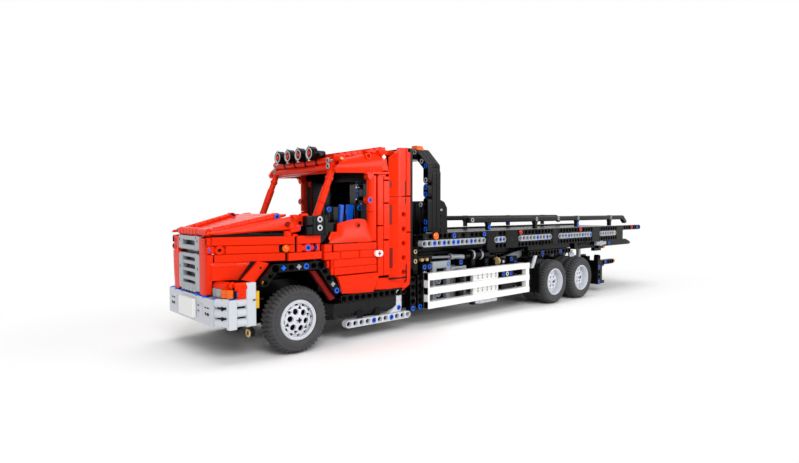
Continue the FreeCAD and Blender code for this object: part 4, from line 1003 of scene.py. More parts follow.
x = np.linspace(0, 1, 13)
low_line = np.stack([between(4.75, 11.35, x), np.full(13, 12.5)], -1)
top_x = np.array([4.75, 5.15, 5.6, 6.0, 6.08, 6.6, 7.4, 8.2, 8.98, 9.7, 10.45, 11.0, 11.25])
top_z = np.array([13.1, 13.86, 13.87, 13.86, 14.84, 15.0, 15.15, 15.3, 15.42, 15.42, 15.27, 14.6, 13.7])
leaf += [
    bowed(low_line, np.stack([top_x, top_z], -1), 0.35, SIDE), ring((9.14, -8.46, 14.6), RIGHT, 0.42, 0.24, 0.5),
]
foot_top = np.stack([between(5.5, 12.1, x), np.full(13, 8.44)], -1)
leaf += [
    bowed(foot_top, np.stack([between(6.6, 11.4, x), 6.42 - 0.48 * x], -1), 0.55, SIDE),
    ring((9.98, -8.4, 6.6), RIGHT, 0.46, 0.26, 0.5), tube((11.35, -8.05, 12.6), (11.35, -8.05, 16.3), 0.5, 20),
    tube((11.35, -8.05, 16.34), (11.35, -8.05, 20.7), 0.5, 20), ring((11.05, -8.5, 17.8), RIGHT, 0.5, 0.3, 0.9),
    slab(11.4, 12.05, -8.4, -7.7, 12.5, 21.0, 0.06), tube((11.1, -8.52, 20.9), (11.1, -7.6, 20.9), 0.5, 20),
    slab(9.1, 11.2, -8.42, -7.7, 12.42, 12.5, 0.02),
]
doors("door_leaf", leaf, RED, True)
doors("door_blue_pins", [pin((11.05, -8.52, 17.8), RIGHT)], BLUE)
grip_x, grip_z, grip_r = 12.18, 10.9, 0.42
half_turn = np.linspace(-math.pi / 2, math.pi / 2, 9)
grip_end = [(grip_x + 0.24 + grip_r * math.cos(t), grip_z + grip_r * math.sin(t)) for t in half_turn]
grip = grip_end + [(2 * grip_x - a, 2 * grip_z - b) for a, b in grip_end]
doors("door_grip", [side_plate(grip, 8.95, 0.45, 0.08)], WHITE)
# Black plugs in the door rings' holes: painted shade.
doors(
    "door_ring_hole_shade",
    [tube((9.14, -8.4, 14.6), (9.14, -8.2, 14.6), 0.26), tube((9.98, -8.35, 6.6), (9.98, -8.1, 6.6), 0.28)], BLACK,
)
doors("door_grip_pins", [axle_end((grip_x, -8.96, grip_z), RIGHT, BACK)], DEEP_RED)
doors(
    "door_inner", [slab(4.6, 11.9, -7.75, -7.6, 8.7, 15.0), tube((11.9, -7.7, 9.0), (11.9, -7.7, 20.0), 0.3)],
    BLACK,
)


# Cab shell
corner = [
    slab(12.3, 13.2, -8.46, -7.6, 14.55, 20.95, 0.05), slab(12.3, 13.2, -8.46, -7.6, 7.9, 14.42, 0.05),
    tube((12.55, -7.95, 21.0), (13.8, -7.95, 21.0), 0.4),
]
for z0, z1 in ((20.5, 20.95), (17.5, 20.36), (12.66, 17.36), (7.9, 12.5)):
    corner.append(slab(13.28, 14.28, -SIDE, -7.6, z0, z1, 0.07))
corner.append(slab(13.55, 14.15, -8.54, -8.4, 7.95, 8.5, 0.05))


def corner_plan(x):
    """How far the tall corner panel stands out: a quarter wave from the recess at its front to its crest."""
    s = np.clip((x - 14.4) / 1.5, 0, 1)
    return 8.1 + 0.58 * np.sin(s * math.pi / 2)


def corner_panel(z0, z1, slant):
    """A strip of the corner panel between two heights, its top edge slanted over its width."""
    x = np.linspace(14.4, 16.25, 15)
    t = np.linspace(0, 1, 12)[:, None]
    top = z1 - slant * np.clip((16.25 - x) / 1.85, 0, 1)
    z = z0 * (1 - t) + top[None] * t
    grid = np.stack([np.broadcast_to(x, z.shape), np.broadcast_to(-corner_plan(x), z.shape), z], -1)
    return sheet(grid[::-1], 0.5)


corner += [
    corner_panel(18.32, 24.85, 1.3), corner_panel(7.0, 18.25, 0.0),
    ring((15.6, -8.66, 13.0), RIGHT, 0.2, 0.06, 0.2),
]
sill = [(12.4, 7.6), (17.6, 7.4), (16.9, 6.3), (16.2, 5.75), (11.9, 6.1)]
corner.append(side_plate(sill, 8.3, 0.5, 0.08))
build("cab_corner_panels", both(corner), RED, "chassis", ["cab_corners"])
# Darker red blocks in the corner panel's notches: painted shade.
recess = slabs(
    (14.3, 14.85, -8.36, -7.7, 14.6, 17.25), (14.3, 14.9, -8.4, -7.7, 8.8, 11.45),
    (14.3, 14.8, -8.36, -7.7, 19.6, 20.3),
)
build("corner_notch_shade", both(recess), SHADED_RED)
build("corner_pins", both([tube((14.2, -8.2, 9.05), (14.35, -8.2, 9.3), 0.16)]), BLUE)

column = [
    slab(17.28, 18.08, -SIDE, -7.55, z0, z1, 0.09)
    for z0, z1 in ((6.55, 13.42), (13.56, 18.35), (18.48, 24.95))
]
column.append(slab(16.28, 17.2, -SIDE + 0.02, -7.55, 18.4, 24.9, 0.06))


def pierced(x0, x1, z0, z1, holes, y=SIDE, depth=0.9):
    """A tall panel with round pin holes: a grid cell for every hole, as in a beam, with square ends."""
    cells = []
    edges = [z0] + [(a + b) / 2 for a, b in zip(holes[:-1], holes[1:])] + [z1]
    u = angles(AROUND) + math.pi / AROUND
    cu, su = np.cos(u), np.sin(u)
    reach = 1 / np.maximum(abs(cu), abs(su))
    middle = (x0 + x1) / 2
    for z, low, high in zip(holes, edges[:-1], edges[1:]):
        s = np.clip(cu * reach * 1.42, -1, 1) * (x1 - x0) / 2
        t = np.clip(su * reach * 1.42, -1, 1)
        t = np.where(t > 0, t * (high - z), t * (z - low))
        rings = [(s, t, depth), (s, t, 0.0)]
        for radius, deep in ((RING_R, 0.0), (RING_R, RING_DEPTH), (PIN_R, RING_DEPTH), (PIN_R, depth)):
            rings.append((cu * radius, su * radius, deep))
        points = [np.stack([middle + a, np.full(AROUND, -y + d), z + b], -1) for a, b, d in rings]
        cells.append(shape(np.concatenate(points), grid_faces(len(rings), AROUND, True, True)))
    return cells


column += pierced(16.28, 17.26, 7.0, 18.3, (8.1, 10.05, 12.0, 13.95, 15.93))
foot_plate = [(17.28, 6.6), (18.08, 6.6), (18.08, 6.4), (16.6, 5.55), (16.2, 5.75), (17.0, 6.6)]
column.append(side_plate(foot_plate, SIDE, 0.9))
build("cab_columns", both(column), RED, "chassis", ["cab_rear"])
wall = [slab(17.3, 18.5, -7.5, -4.5, 8.3, 24.9), slab(18.12, 18.55, -8.4, -7.4, 8.3, 24.8, 0.06)]
wall_black = both(wall) + [slab(17.3, 18.5, -4.5, 4.5, 8.3, 15.0), slab(17.3, 18.5, -4.5, 4.5, 20.5, 24.9)]
wall_black += both([beam((17.9, -8.2, 24.4), RIGHT, UP, 2, 0.5, False)])
# Thin black strips in the slits between the column's pieces: painted shade.
slit_shade = slabs(
    (17.02, 17.2, -8.515, -8.3, 17.3, 18.2, 0.02), (17.02, 17.2, -8.515, -8.3, 18.4, 20.45, 0.02),
    (17.12, 17.32, -8.53, -8.3, 6.9, 9.1, 0.02), (14.2, 17.2, -8.69, -8.3, 7.28, 7.46, 0.02),
)
build("cab_back_wall", wall_black + both(slit_shade), BLACK)


# Roof
share = np.linspace(0, 1, 14)
profile = [
    (-8.35, 0.0), (-8.46, 0.25), (-8.5, 0.5), (-8.44, 0.62), (-8.3, 0.72), (-8.1, 0.86), (-7.8, 0.97), (-7.4, 1.0),
]
bend = 0.3
grid = []
for y, rise in profile:
    low_x = between(5.85, 12.98, share)
    nose = between(5.62, 12.95, share)
    high_x = between(6.75, 12.75, share)
    xs = between(low_x, nose, rise / bend) if rise <= bend else between(nose, high_x, (rise - bend) / (1 - bend))
    low = 21.08 + 0.27 * share
    high = 23.0 + 1.3 * (xs - 6.75) / (13.0 - 6.75)
    grid.append(np.stack([xs, np.full(14, y), between(low, high, rise)], -1))
roof = [sheet(np.array(grid)[::-1], 0.5)]
link = [(12.75, 23.3), (12.95, 23.72), (13.35, 23.85), (13.7, 23.65), (13.95, 22.4), (14.15, 21.65), (12.98, 21.6)]
roof += [
    side_plate(link, 8.52, 0.8, 0.1),
    side_plate([(10.35, 21.1), (14.2, 21.25), (14.2, 21.58), (10.35, 21.42)], 8.5, 0.6),
    ring((10.8, -8.44, 23.4), RIGHT, 0.46, 0.28, 0.6), ring((11.25, -8.52, 21.6), RIGHT, 0.4, 0.22, 0.5),
    slab(10.6, 12.4, -8.1, -7.6, 23.9, 24.25, 0.1), tube((12.5, -8.1, 24.0), (13.9, -8.1, 24.05), 0.36),
]
tray = []
for i in range(8):
    x0 = 6.9 + 0.93 * i
    z = 23.15 + 0.17 * i
    tray.append(slab(x0, x0 + 0.91, -7.6, 7.6, z, z + 0.5, 0.06))
tray += [slab(14.4, 17.1, -7.45, 7.45, 23.8, 24.5, 0.08)]
build("roof_shell", both(roof) + tray, RED, "chassis", ["cab_roof"])
build("roof_white_pins", both([axle_end((13.28, -8.54, 23.45), RIGHT, BACK)]), WHITE)
build("roof_tan_pins", both([tube((6.5, -8.3, 22.95), (6.75, -8.5, 22.75), 0.16)]), TAN)
lining = [
    slab(7.0, 14.1, -7.4, 7.4, 22.5, 22.9), slab(14.1, 17.2, -7.4, 7.4, 20.6, 23.7),
    flipped(slab(11.6, 14.3, -7.9, -7.4, 20.8, 22.6)),
]
build(
    "cab_lining", lining + both([slab(12.4, 17.2, -7.55, -7.3, 9.2, 21.0), slab(8.0, 8.8, -7.3, -6.6, 21.9, 22.6)]),
    BLACK,
)

pillar_low = np.array([3.75, -6.95, 15.55])
pillar_high = np.array([6.15, -6.95, 21.5])
climb = (pillar_high - pillar_low) / np.linalg.norm(pillar_high - pillar_low)
screen = [
    tube(pillar_low, pillar_low + climb * 2.0, 0.46, 20),
    tube(pillar_low + climb * 2.03, pillar_low + climb * 4.1, 0.48, 20),
    tube(pillar_low + climb * 4.13, pillar_low + climb * 5.2, 0.4, 20),
    tube(pillar_low + climb * 5.1, pillar_low + climb * 5.5, 0.5, 20),
    tube(pillar_low + climb * 5.4, pillar_high, 0.4, 20), slab(3.3, 4.3, -7.3, -6.5, 15.42, 15.8, 0.08),
    side_plate([(5.7, 21.2), (6.6, 21.4), (6.9, 22.1), (6.4, 22.5), (5.9, 22.2)], 7.3, 0.9, 0.1),
    tube((6.2, -6.9, 22.05), (6.2, -6.2, 22.05), 0.5, 20), tube((6.3, -7.3, 22.95), (6.9, -8.2, 22.9), 0.45, 16),
]
build("screen_pillars", both(screen), RED, "chassis", ["windscreen_frame"])
header = [
    tube((6.1, -6.6, 21.75), (6.1, 6.6, 21.75), 0.46, 20), tube((6.2, -6.6, 22.66), (6.2, 6.6, 22.66), 0.46, 20),
    slab(6.0, 6.9, -0.5, 0.5, 21.3, 22.0, 0.1), slab(6.5, 7.2, -6.9, 6.9, 21.2, 22.7, 0.1),
]
build("screen_header", header, RED)
rings = [pin((5.72, -6.55, 22.66), BACK), pin((5.62, -6.75, 21.95), BACK)]
build("screen_pins", both(rings), SILVER)

# Roof lamps
bulbs = []
shells = []
crosses = []
clips = [tube((5.75, -5.3, 23.5), (5.75, 5.3, 23.5), 0.3)]
bezel = [(0.52, 0.3), (0.52, 0.1), (0.58, 0.02), (0.7, 0.02), (0.74, 0.1), (0.74, 0.3)]
cup = [(0.1, 0.12), (0.72, 0.12), (0.76, 0.0), (0.85, 0.02), (0.88, 0.12), (0.88, 0.8), (0.6, 1.0)]
z = 23.68
for i in range(4):
    y = -4.0 + 2.667 * i
    shells += [
        hoop(bezel, (4.62, y, z), BACK, 32), slab(4.62, 4.85, y - 0.14, y + 0.14, z + 0.75, z + 1.0, 0.03),
        slab(4.62, 4.85, y - 0.14, y + 0.14, z - 1.0, z - 0.75, 0.03),
    ]
    crosses.append(axle_end((4.66, y, z), BACK, RIGHT))
    bulbs.append(turned(cup, (4.66, y, z), BACK, 24))
    clips += [
        ring((6.2, y - 0.15, 22.66), RIGHT, 0.56, 0.44, 0.3), slab(5.5, 5.9, y - 0.15, y + 0.15, 22.9, 23.5, 0.05),
    ]
bulbs += [tube((5.5, y, z), (6.95, y, z), 0.46, 16) for y in (-4.0, 4.0)]
build("roof_lamp_rings", shells, CHROME, "chassis", ["roof_lamps"])
build("roof_lamp_crosses", crosses, RED)
build("roof_lamp_backs", bulbs + clips, BLACK)

# Inside the cab
seat = []
for y in (-5.9, 2.9):
    seat += [slab(8.7, 12.8, y, y + 3.0, 10.6, 11.6, 0.2), slab(9.2, 12.6, y + 0.2, y + 2.8, 9.12, 10.6, 0.1)]
    top = [(13.7, 17.1), (12.8, 17.3)] if y < 0 else [(13.5, 15.8), (12.6, 16.0)]
    back_rest = [(12.0, 11.4), (12.95, 11.4)] + top
    seat.append(side_plate(back_rest, -y, 3.0, 0.12))
build("seat_frames", seat, BLACK, "chassis", ["seats"])
stripes = [
    side_plate([(x0, 14.8), (x0 + w, 14.8), (x0 + w + 0.25, 17.2), (x0 + 0.25, 17.25)], 5.6, 0.5)
    for x0, w in ((8.2, 0.55), (9.35, 0.95))
]
stripes.append(side_plate([(12.02, 11.6), (12.52, 15.7), (12.67, 15.7), (12.3, 11.6)], -3.4, 2.0, 0.03))
build("seat_stripes", stripes, BLUE)
build(
    "belt_posts", [slab(8.1, 10.6, -5.5, -5.2, 11.6, 14.85, 0.05), slab(8.9, 9.4, -5.45, -5.2, 14.8, 16.0, 0.05)],
    BLACK,
)
build("cab_pins", [pin((6.5, -5.8, 16.6), RIGHT), pin((11.35, -5.8, 16.8), RIGHT)], BLUE)
clutter = [
    tube((6.5, -5.3, 9.0), (6.5, -5.3, 17.0), 0.48, 12), tube((11.35, -5.3, 9.0), (11.35, -5.3, 17.2), 0.48, 12),
    slab(7.2, 8.1, -5.6, -4.6, 9.0, 17.0, 0.1), flipped(tube((11.35, -5.3, 9.0), (11.35, -5.3, 15.0), 0.48, 12)),
]
build("cab_inner_posts", clutter, BLACK)


def steering_wheel():
    """A rim round a tilted column, with two spokes and a hub."""
    radius, thick = 1.25, 0.16
    centre = np.array([6.6, -4.2, 14.3])
    axis = np.array([-0.894, 0.0, -0.447])
    b = RIGHT
    d = np.cross(axis, b)
    u, v = angles(32), angles(8)
    spoke = np.cos(u)[:, None] * b + np.sin(u)[:, None] * d
    around = radius + thick * np.cos(v)
    points = centre + around[None, :, None] * spoke[:, None] + thick * np.sin(v)[None, :, None] * axis
    rim = shape(points, grid_faces(32, 8, True, True))
    bars = [
        tube(centre - b * 1.2, centre + b * 1.2, thick), tube(centre, centre + d * 1.2, thick),
        tube(centre - axis * 0.2, centre + axis * 1.6, 0.25),
    ]
    return [rim] + bars


desk = [slab(3.62, 4.9, -7.3, 7.3, 12.0, 15.2, 0.25), slab(4.9, 5.3, -6.0, 6.0, 12.6, 14.2, 0.15)]
desk += [slab(4.88, 5.4, y, y + 1.4, 13.0, 14.0, 0.1) for y in (-5.0, -2.2, 1.0)]
build("dashboard_desk", desk + steering_wheel(), BLACK, "chassis", ["dashboard"])


# Wheels
def lathe(profile, around, x, face=0.0, wave=None):
    """A closed profile of (radius, depth behind a left face) rings round the axle at x.

    wave(index of the ring, angle) is added to the radius.
    """
    p = np.asarray(profile, float) - (0.0, face)
    u = angles(around)
    radius = np.repeat(p[:, :1], around, 1)
    if wave is not None:
        radius = radius + wave(np.arange(len(p))[:, None], u[None, :])
    points = np.stack([x + radius * np.cos(u), np.repeat(p[:, 1:], around, 1), AXLE_Z + radius * np.sin(u)], -1)
    return shape(points, grid_faces(len(p), around, True, True))


TYRE_R = 3.9
TYRE_WIDTH = 2.5
LUGS = 44
LUG_HEIGHT = 0.2
ROWS = 15


def tyre(x, outer):
    """A soft tyre: a rounded tread cut into two rows of lugs, the rows half a pitch apart.

    Across the width w from -1 to 1 the radius falls by 0.34 times the fifth power of |w|. Each
    lug's height is a raised cosine of the angle, cut off at both ends, and a groove parts the rows.
    """
    w = np.linspace(-1, 1, ROWS)
    crown = TYRE_R - 0.02 - 0.34 * np.abs(w) ** 5
    tread = np.stack([crown, -outer + TYRE_WIDTH * (w + 1) / 2 * 0.94 + 0.075], -1)
    low = [
        (2.37, -outer + 0.14), (2.55, -outer + 0.04), (2.78, -outer), (3.2, -outer + 0.01), (3.45, -outer + 0.03),
    ]
    back = [(r, -2 * outer + TYRE_WIDTH - y) for r, y in low[::-1]]
    profile = low + tread.tolist() + back
    first = len(low)

    def wave(index, u):
        """The lugs' height over the bottom of the tread, less the height of a lug."""
        middle = (ROWS - 1) / 2
        across = (np.clip(index - first, 0, ROWS - 1) - middle) / middle
        phase = np.where(across < 0, 0.0, math.pi)
        height = np.clip(1.6 * np.cos(LUGS * u + phase + 1.1 * across), -1, 1) * 0.5 + 0.5
        groove = np.where(np.abs(across) < 0.1, 0.0, 1.0)
        on_tread = (index >= first) & (index < first + ROWS)
        return np.where(on_tread, -LUG_HEIGHT + LUG_HEIGHT * height * groove, 0.0)

    return lathe(profile, LUGS * 8, x, wave=wave)


def band_marks(x, outer, radius):
    """A thin raised line round the sidewall."""
    out = radius + 0.06
    return lathe([(radius, 0.05), (radius, -0.03), (out, -0.03), (out, 0.05)], 96, x, outer)


def drilled_disc(x, holes, profile_y, r0, r1, thick):
    """A disc between two radii with holes: rows of (centre radius, size, count, first angle, corners).

    A polar grid's points near a hole are pulled on to its rim, and cells inside it are left out.
    A round hole measures the distance d from its centre; one with three corners measures the
    largest d cos(angle - side) of its three sides, so that its rim is a triangle.
    """
    nr, nu = 56, 240
    r = np.linspace(r0, r1, nr)[:, None] + np.zeros((1, nu))
    u = np.zeros((nr, 1)) + angles(nu)[None]
    a, b = r * np.cos(u), r * np.sin(u)
    open_cell = np.zeros((nr, nu), bool)
    for centre, size, count, first, corners in holes:
        for k in range(count):
            angle = first + k * 2 * math.pi / count
            ca, cb = centre * math.cos(angle), centre * math.sin(angle)
            da, db = a - ca, b - cb
            sides = [angle + corners % 2 * math.pi + 2 * math.pi * i / 3 for i in range(3)]
            gap = np.hypot(da, db)
            if corners:
                gap = np.max([da * math.cos(t) + db * math.sin(t) for t in sides], axis=0)
            near = np.abs(gap - size) < (r1 - r0) / nr * 0.75
            scale = np.where(near, size / np.maximum(gap, 1e-6), 1.0)
            a = ca + da * scale
            b = cb + db * scale
            open_cell |= (gap < size) & ~near
    front = np.stack([x + a, profile_y(np.hypot(a, b)), AXLE_Z + b], -1)
    back = front + (0, thick, 0)
    index = np.arange(nr * nu).reshape(nr, nu)
    beside = np.roll(index, -1, 1)
    quads = np.stack([index[:-1], beside[:-1], beside[1:], index[1:]], -1)
    open_beside = np.roll(open_cell, -1, 1)
    gone = open_cell[:-1] | open_cell[1:] | open_beside[:-1] | open_beside[1:]
    kept = quads[~gone]
    n = nr * nu
    edges = np.concatenate([kept[:, [0, 1]], kept[:, [1, 2]], kept[:, [2, 3]], kept[:, [3, 0]]])
    key = np.minimum(edges[:, 0], edges[:, 1]) * n + np.maximum(edges[:, 0], edges[:, 1])
    _, inverse, counts = np.unique(key, return_inverse=True, return_counts=True)
    rim = edges[counts[inverse.reshape(-1)] == 1]
    walls = np.stack([rim[:, 1], rim[:, 0], rim[:, 0] + n, rim[:, 1] + n], -1)
    faces = np.concatenate([kept, kept[:, ::-1] + n, walls])
    points = np.concatenate([front.reshape(-1, 3), back.reshape(-1, 3)])
    used = np.unique(faces)
    renumber = np.zeros(2 * n, int)
    renumber[used] = np.arange(len(used))
    return shape(points[used], [tuple(f) for f in renumber[faces].tolist()])


RIM_R = 2.34


def front_rim(x, face):
    """The bulging front rim: a stepped outer ring and a dome with three circles of holes round the hub."""
    outer = lathe([
        (2.08, 0.1), (2.14, -0.02), (2.22, -0.02), (RIM_R, 0.1),
        (RIM_R, 2.2), (2.2, 2.2), (2.16, 0.5), (2.02, 0.34),
    ], 96, x, face)

    def dome_y(r):
        """A quarter cosine wave from the hub out to the ring."""
        return -face + 0.5 - 0.42 * np.cos(np.clip(r / 2.1, 0, 1) * math.pi / 2)

    holes = [(1.03, 0.36, 6, 0.85, 0), (1.42, 0.17, 6, 1.37, 3), (1.8, 0.15, 12, 0.59, 3)]
    dome = drilled_disc(x, holes, dome_y, 0.3, 2.1, 0.3)
    hub = lathe([(0.02, -0.06), (0.26, -0.06), (0.34, 0.0), (0.36, 0.6), (0.02, 0.6)], 24, x, face)
    rib = lathe([(1.93, 0.12), (1.98, 0.03), (2.06, 0.03), (2.11, 0.12)], 72, x, face)
    return [outer, dome, hub, rib]


def rear_rim(x, face):
    """The rear rim, deeply dished, with two circles of holes in its disc."""
    outer = lathe([
        (2.1, 0.3), (2.16, -0.02), (2.24, -0.02), (RIM_R, 0.1), (RIM_R, 4.8), (2.2, 4.8), (2.1, 1.2),
    ], 96, x, face)

    def cone_y(r):
        """A flat disc with a raised middle, that falls back as the square of the radius further out."""
        return -face + 0.75 + 0.5 * np.clip((r - 1.15) / 0.95, 0, 1) ** 2 - 0.12 * (r < 0.6)

    cone = drilled_disc(x, [(1.5, 0.24, 9, 0.2, 0), (0.9, 0.26, 6, 0.0, 0)], cone_y, 0.3, 2.15, 0.3)
    lips = [
        lathe([(a, y), (a + 0.04, y - 0.08), (a + 0.12, y - 0.08), (a + 0.16, y)], 72, x, face)
        for a, y in ((1.1, 0.8), (1.8, 1.0))
    ]
    hub = lathe([(0.02, 0.35), (0.24, 0.35), (0.32, 0.42), (0.34, 0.9), (0.02, 0.9)], 24, x, face)
    return [outer, cone, hub] + lips


def wheel(x, outer, body, tyres, rims, twin):
    """A wheel on each side: tyres, rim, a black disc behind the rim as painted shade in its holes, and the axle
    end.
    """
    for side in ("left", "right"):
        ridden = body + "_" + side
        soft = [tyre(x, outer), band_marks(x, outer, 3.05)]
        if twin:
            soft.append(tyre(x, outer - TYRE_WIDTH - 0.2))
        tyre_node, rim_node = tyres + "_" + side, rims + "_" + side
        build(tyre_node + "_mesh", on_side(soft, side), TYRE, ridden, [tyre_node], 40.0)
        hub = rear_rim(x, outer) if twin else front_rim(x, outer - 0.1)
        build(rim_node + "_mesh", on_side(hub, side), RIM, ridden, [rim_node])
        # A black disc behind the rim paints the shade in its holes; the axle end is a black part.
        dark = [
            lathe([(0.05, 1.5), (2.1, 1.5), (2.1, 1.6), (0.05, 1.6)], 32, x, outer),
            axle_end((x, -outer + (0.32 if twin else 0.0), AXLE_Z), RIGHT, BACK),
        ]
        build(rim_node + "_dark", on_side(dark, side), BLACK, ridden)


wheel(0.0, 9.3, "front_wheel", "front_tyre", "front_rim", False)
wheel(REAR_AXLES[0], 10.45, "rear_wheels_1", "rear_tyres_1", "rear_rims_1", True)
wheel(REAR_AXLES[1], 10.45, "rear_wheels_2", "rear_tyres_2", "rear_rims_2", True)


# Lower side
sill = [beam((7.58, -SIDE, 2.2), BACK, RIGHT, 11, 0.95)]
bracket = [(14.3, 2.7), (16.45, 2.7), (16.45, 4.9), (15.65, 4.9), (15.65, 3.7)]
sill += [side_plate(bracket, 8.3, 0.8, 0.08), beam((16.05, -8.32, 3.3), UP, RIGHT, 3, 0.5)]
build("sill_grey", both(sill), PALE, "chassis", ["sill_beams"])
build(
    "sill_pins",
    both([pin((x, -SIDE - 0.01, 2.2), RIGHT) for x in (11.58, 14.58)] + [pin((16.05, -8.33, 3.3), RIGHT)]), BLUE,
)

path = np.array([(-4.6, 7.7), (-2.55, 9.95), (3.45, 9.95), (6.3, 5.9)])
arch = []
for (ax, az), (bx, bz), holes in ((path[1], path[0], 3), (path[1], path[2], 7), (path[2], path[3], 5)):
    way = np.array([bx - ax, 0.0, bz - az])
    way /= np.linalg.norm(way)
    arch.append(beam((ax, -SIDE, az), way, RIGHT, holes, 0.97))
arch.append(beam((6.8, -SIDE, 5.5), BACK, RIGHT, 11, 0.97))
liner = [(-4.6, 7.5), (-2.8, 9.75), (3.4, 9.75), (6.0, 6.2), (6.0, 6.5), (3.2, 10.05), (-2.9, 10.05), (-4.9, 7.8)]
arch += [side_plate(liner, 7.5, 4.0, 0.04), slab(12.0, 12.9, -7.5, -3.5, 5.25, 6.2)]
build("arch_rows", both(arch), BLACK, "chassis", ["arch_beams"])
slope_way = np.array([2.85, 0.0, -4.05]) / 4.952
arch_blue = [
    pin((1.45, -SIDE - 0.01, 9.95), RIGHT), axle_end((-1.55, -SIDE - 0.06, 9.95), RIGHT, BACK),
    pin(np.array([3.45, -SIDE - 0.01, 9.95]) + slope_way * 4, RIGHT),
]
build("arch_pins", both(arch_blue), BLUE)
arch_light = [
    axle_end((0.45, -SIDE - 0.06, 9.95), RIGHT, BACK),
    axle_end(np.array([3.45, -SIDE - 0.06, 9.95]) + slope_way * 3, RIGHT, BACK),
]
build("arch_light_pins", both(arch_light), SILVER)
# A red liner inside the wheel arch, darkened: a red part with painted shade.
build("arch_red_liner_shaded", both([side_plate([(2.3, 9.3), (3.1, 9.3), (5.9, 5.6), (5.2, 5.4)], 7.9, 0.5)]), SHADED_RED)

tank = []
profile = np.array([
    (-8.28, 4.95), (-8.3, 4.3), (-8.26, 3.8), (-8.05, 3.3), (-7.6, 2.95), (-7.0, 2.78), (-5.6, 2.76), (-4.5, 2.76),
])
for x0, x1 in ((5.4, 10.9), (10.93, 16.4)):
    x = np.linspace(x0, x1, 8)
    grid = np.stack(np.broadcast_arrays(x[None, :], profile[:, :1], profile[:, 1:]), -1)
    tank.append(sheet(grid, 0.4))
tank += slabs(
    (5.5, 16.3, -7.9, -4.6, 4.4, 4.9), (8.5, 9.5, -4.5, -3.5, 4.0, 7.5), (5.45, 5.7, -8.1, -4.6, 3.0, 4.9),
    (16.1, 16.35, -8.1, -4.6, 3.0, 4.9),
)
build("tank_panels", both(tank), DARK, "chassis", ["side_tanks"])
# The first black strip lies inside the sill beam, in line with its holes: painted shade in the holes; the other
# blocks are black parts.
build(
    "sill_core",
    both([
        slab(7.6, 17.55, -8.1, -7.6, 1.95, 2.45, 0.02), slab(13.0, 14.0, -7.6, -3.5, 1.8, 2.6),
        slab(13.0, 14.0, -4.4, -3.5, 2.6, 7.0),
    ]),
    BLACK,
)
build("tank_bits", both([slab(8.9, 9.9, -8.34, -8.2, 2.8, 3.7), slab(11.9, 12.7, -8.34, -8.2, 2.8, 3.7)]), BLACK)

bars = []
for z in (3.17, 5.17, 7.17):
    bars += [
        slab(20.4, 32.1, -9.6, -8.63, z - 0.48, z + 0.48, 0.04),
        slab(32.15, 44.5, -9.6, -8.63, z - 0.48, z + 0.48, 0.04),
    ]
bars += slabs(
    (20.4, 20.75, -9.55, -8.65, 2.7, 7.65, 0.04), (43.6, 44.5, -9.5, -8.65, 2.7, 7.65, 0.04),
    (30.75, 36.9, -8.9, -8.3, 3.5, 6.9, 0.05),
)
build("white_bars", both(bars), WHITE, "chassis", ["side_bars"])
posts = []
for x in (20.55, 28.5, 36.5, 43.8):
    posts += [
        slab(x - 0.45, x + 0.45, -8.62, -7.65, 2.7, 7.65, 0.05), slab(x - 0.45, x + 0.45, -7.65, -3.5, 6.75, 7.5),
    ]
posts += [
    beam((18.4, -8.6, 2.9), UP, RIGHT, 5, 0.95), beam((19.8, -8.6, 3.0), UP, RIGHT, 5, 0.5),
    slab(37.7, 40.7, -8.95, -8.0, 5.65, 6.65, 0.05), slab(37.7, 40.7, -8.9, -8.0, 3.7, 4.6, 0.05),
]
marks = [
    slab(x, x + 0.3, -8.93, -8.85, z, z + 0.34, 0.02)
    for x in (31.75, 32.8, 33.95, 34.95, 36.1) for z in (6.3, 5.85, 4.3, 3.85)
]
build("bar_uprights", both(posts), BLACK, "chassis", ["bar_posts"])
build("sleeve_marks", both(marks), SILVER)
pins = [
    pin((18.4, -8.62, 2.9), RIGHT), pin((19.8, -8.61, 3.0), RIGHT), pin((38.2, -8.97, 6.15), RIGHT),
    pin((40.2, -8.97, 6.15), RIGHT),
]
build("bar_pins", both(pins), BLUE)
build("bar_light_pins", both([pin((39.2, -8.97, 6.15), RIGHT)]), WHITE)

locker = slabs(
    (23.5, 27.3, -7.4, -6.7, 7.9, 8.95, 0.08), (23.5, 24.3, -7.4, -6.7, 3.2, 8.0, 0.06),
    (26.4, 27.3, -7.4, -6.7, 3.2, 8.0, 0.06),
)
locker += [slab(27.55, 31.0, -7.3, -3.5, z, z + 0.9, 0.06) for z in (3.3, 4.23, 5.16, 6.09, 7.02)]
locker += [ring((24.4, -7.75, z), RIGHT, 0.46, 0.2, 1.0, 20) for z in (6.1, 4.2)]
build("locker_rows", both(locker), GREY, "chassis", ["side_lockers"])
build("locker_inner", both([slab(23.6, 27.2, -6.72, -3.5, 3.3, 8.6)]), BLACK)
build("locker_pins", both([pin((26.8, -7.42, 8.45), RIGHT)]), BLUE)
flap = [slab(46.2, 46.5, -10.45, -5.85, 2.4, 7.4, 0.08), slab(45.6, 46.5, -5.85, -3.5, 6.5, 7.4)]
flap += [slab(46.15, 46.22, y, y + 0.2, 2.6, 7.0) for y in np.arange(-10.2, -6.0, 0.7)]
build("flap_panels", both(flap), BLACK, "chassis", ["mudflaps"])

underrun = [slab(69.6, 70.6, -8.5, 8.5, 1.5, 2.4, 0.06), slab(69.6, 70.6, -8.5, 8.5, 5.4, 6.3, 0.06)]
ends = [
    beam((70.1, -8.52, 2.0), UP, RIGHT, 6, 0.97), slab(69.65, 70.55, -4.9, -4.0, 2.4, 5.4),
    slab(63.5, 70.6, -4.5, -3.5, 6.0, 7.2), beam((71.0, -8.4, 5.85), BACK, RIGHT, 6, 0.8),
]
build("underrun_rows", underrun + both(ends), BLACK, "chassis", ["underrun"])
build(
    "underrun_pins", both([pin((70.1, -8.54, z), RIGHT) for z in (2.0, 5.0)] + [pin((73.0, -8.42, 5.85), RIGHT)]),
    BLUE,
)
build("underrun_tips", both([tube((76.6, -8.0, 5.85), (77.1, -8.0, 5.85), 0.4, 16)]), ORANGE_ABS)


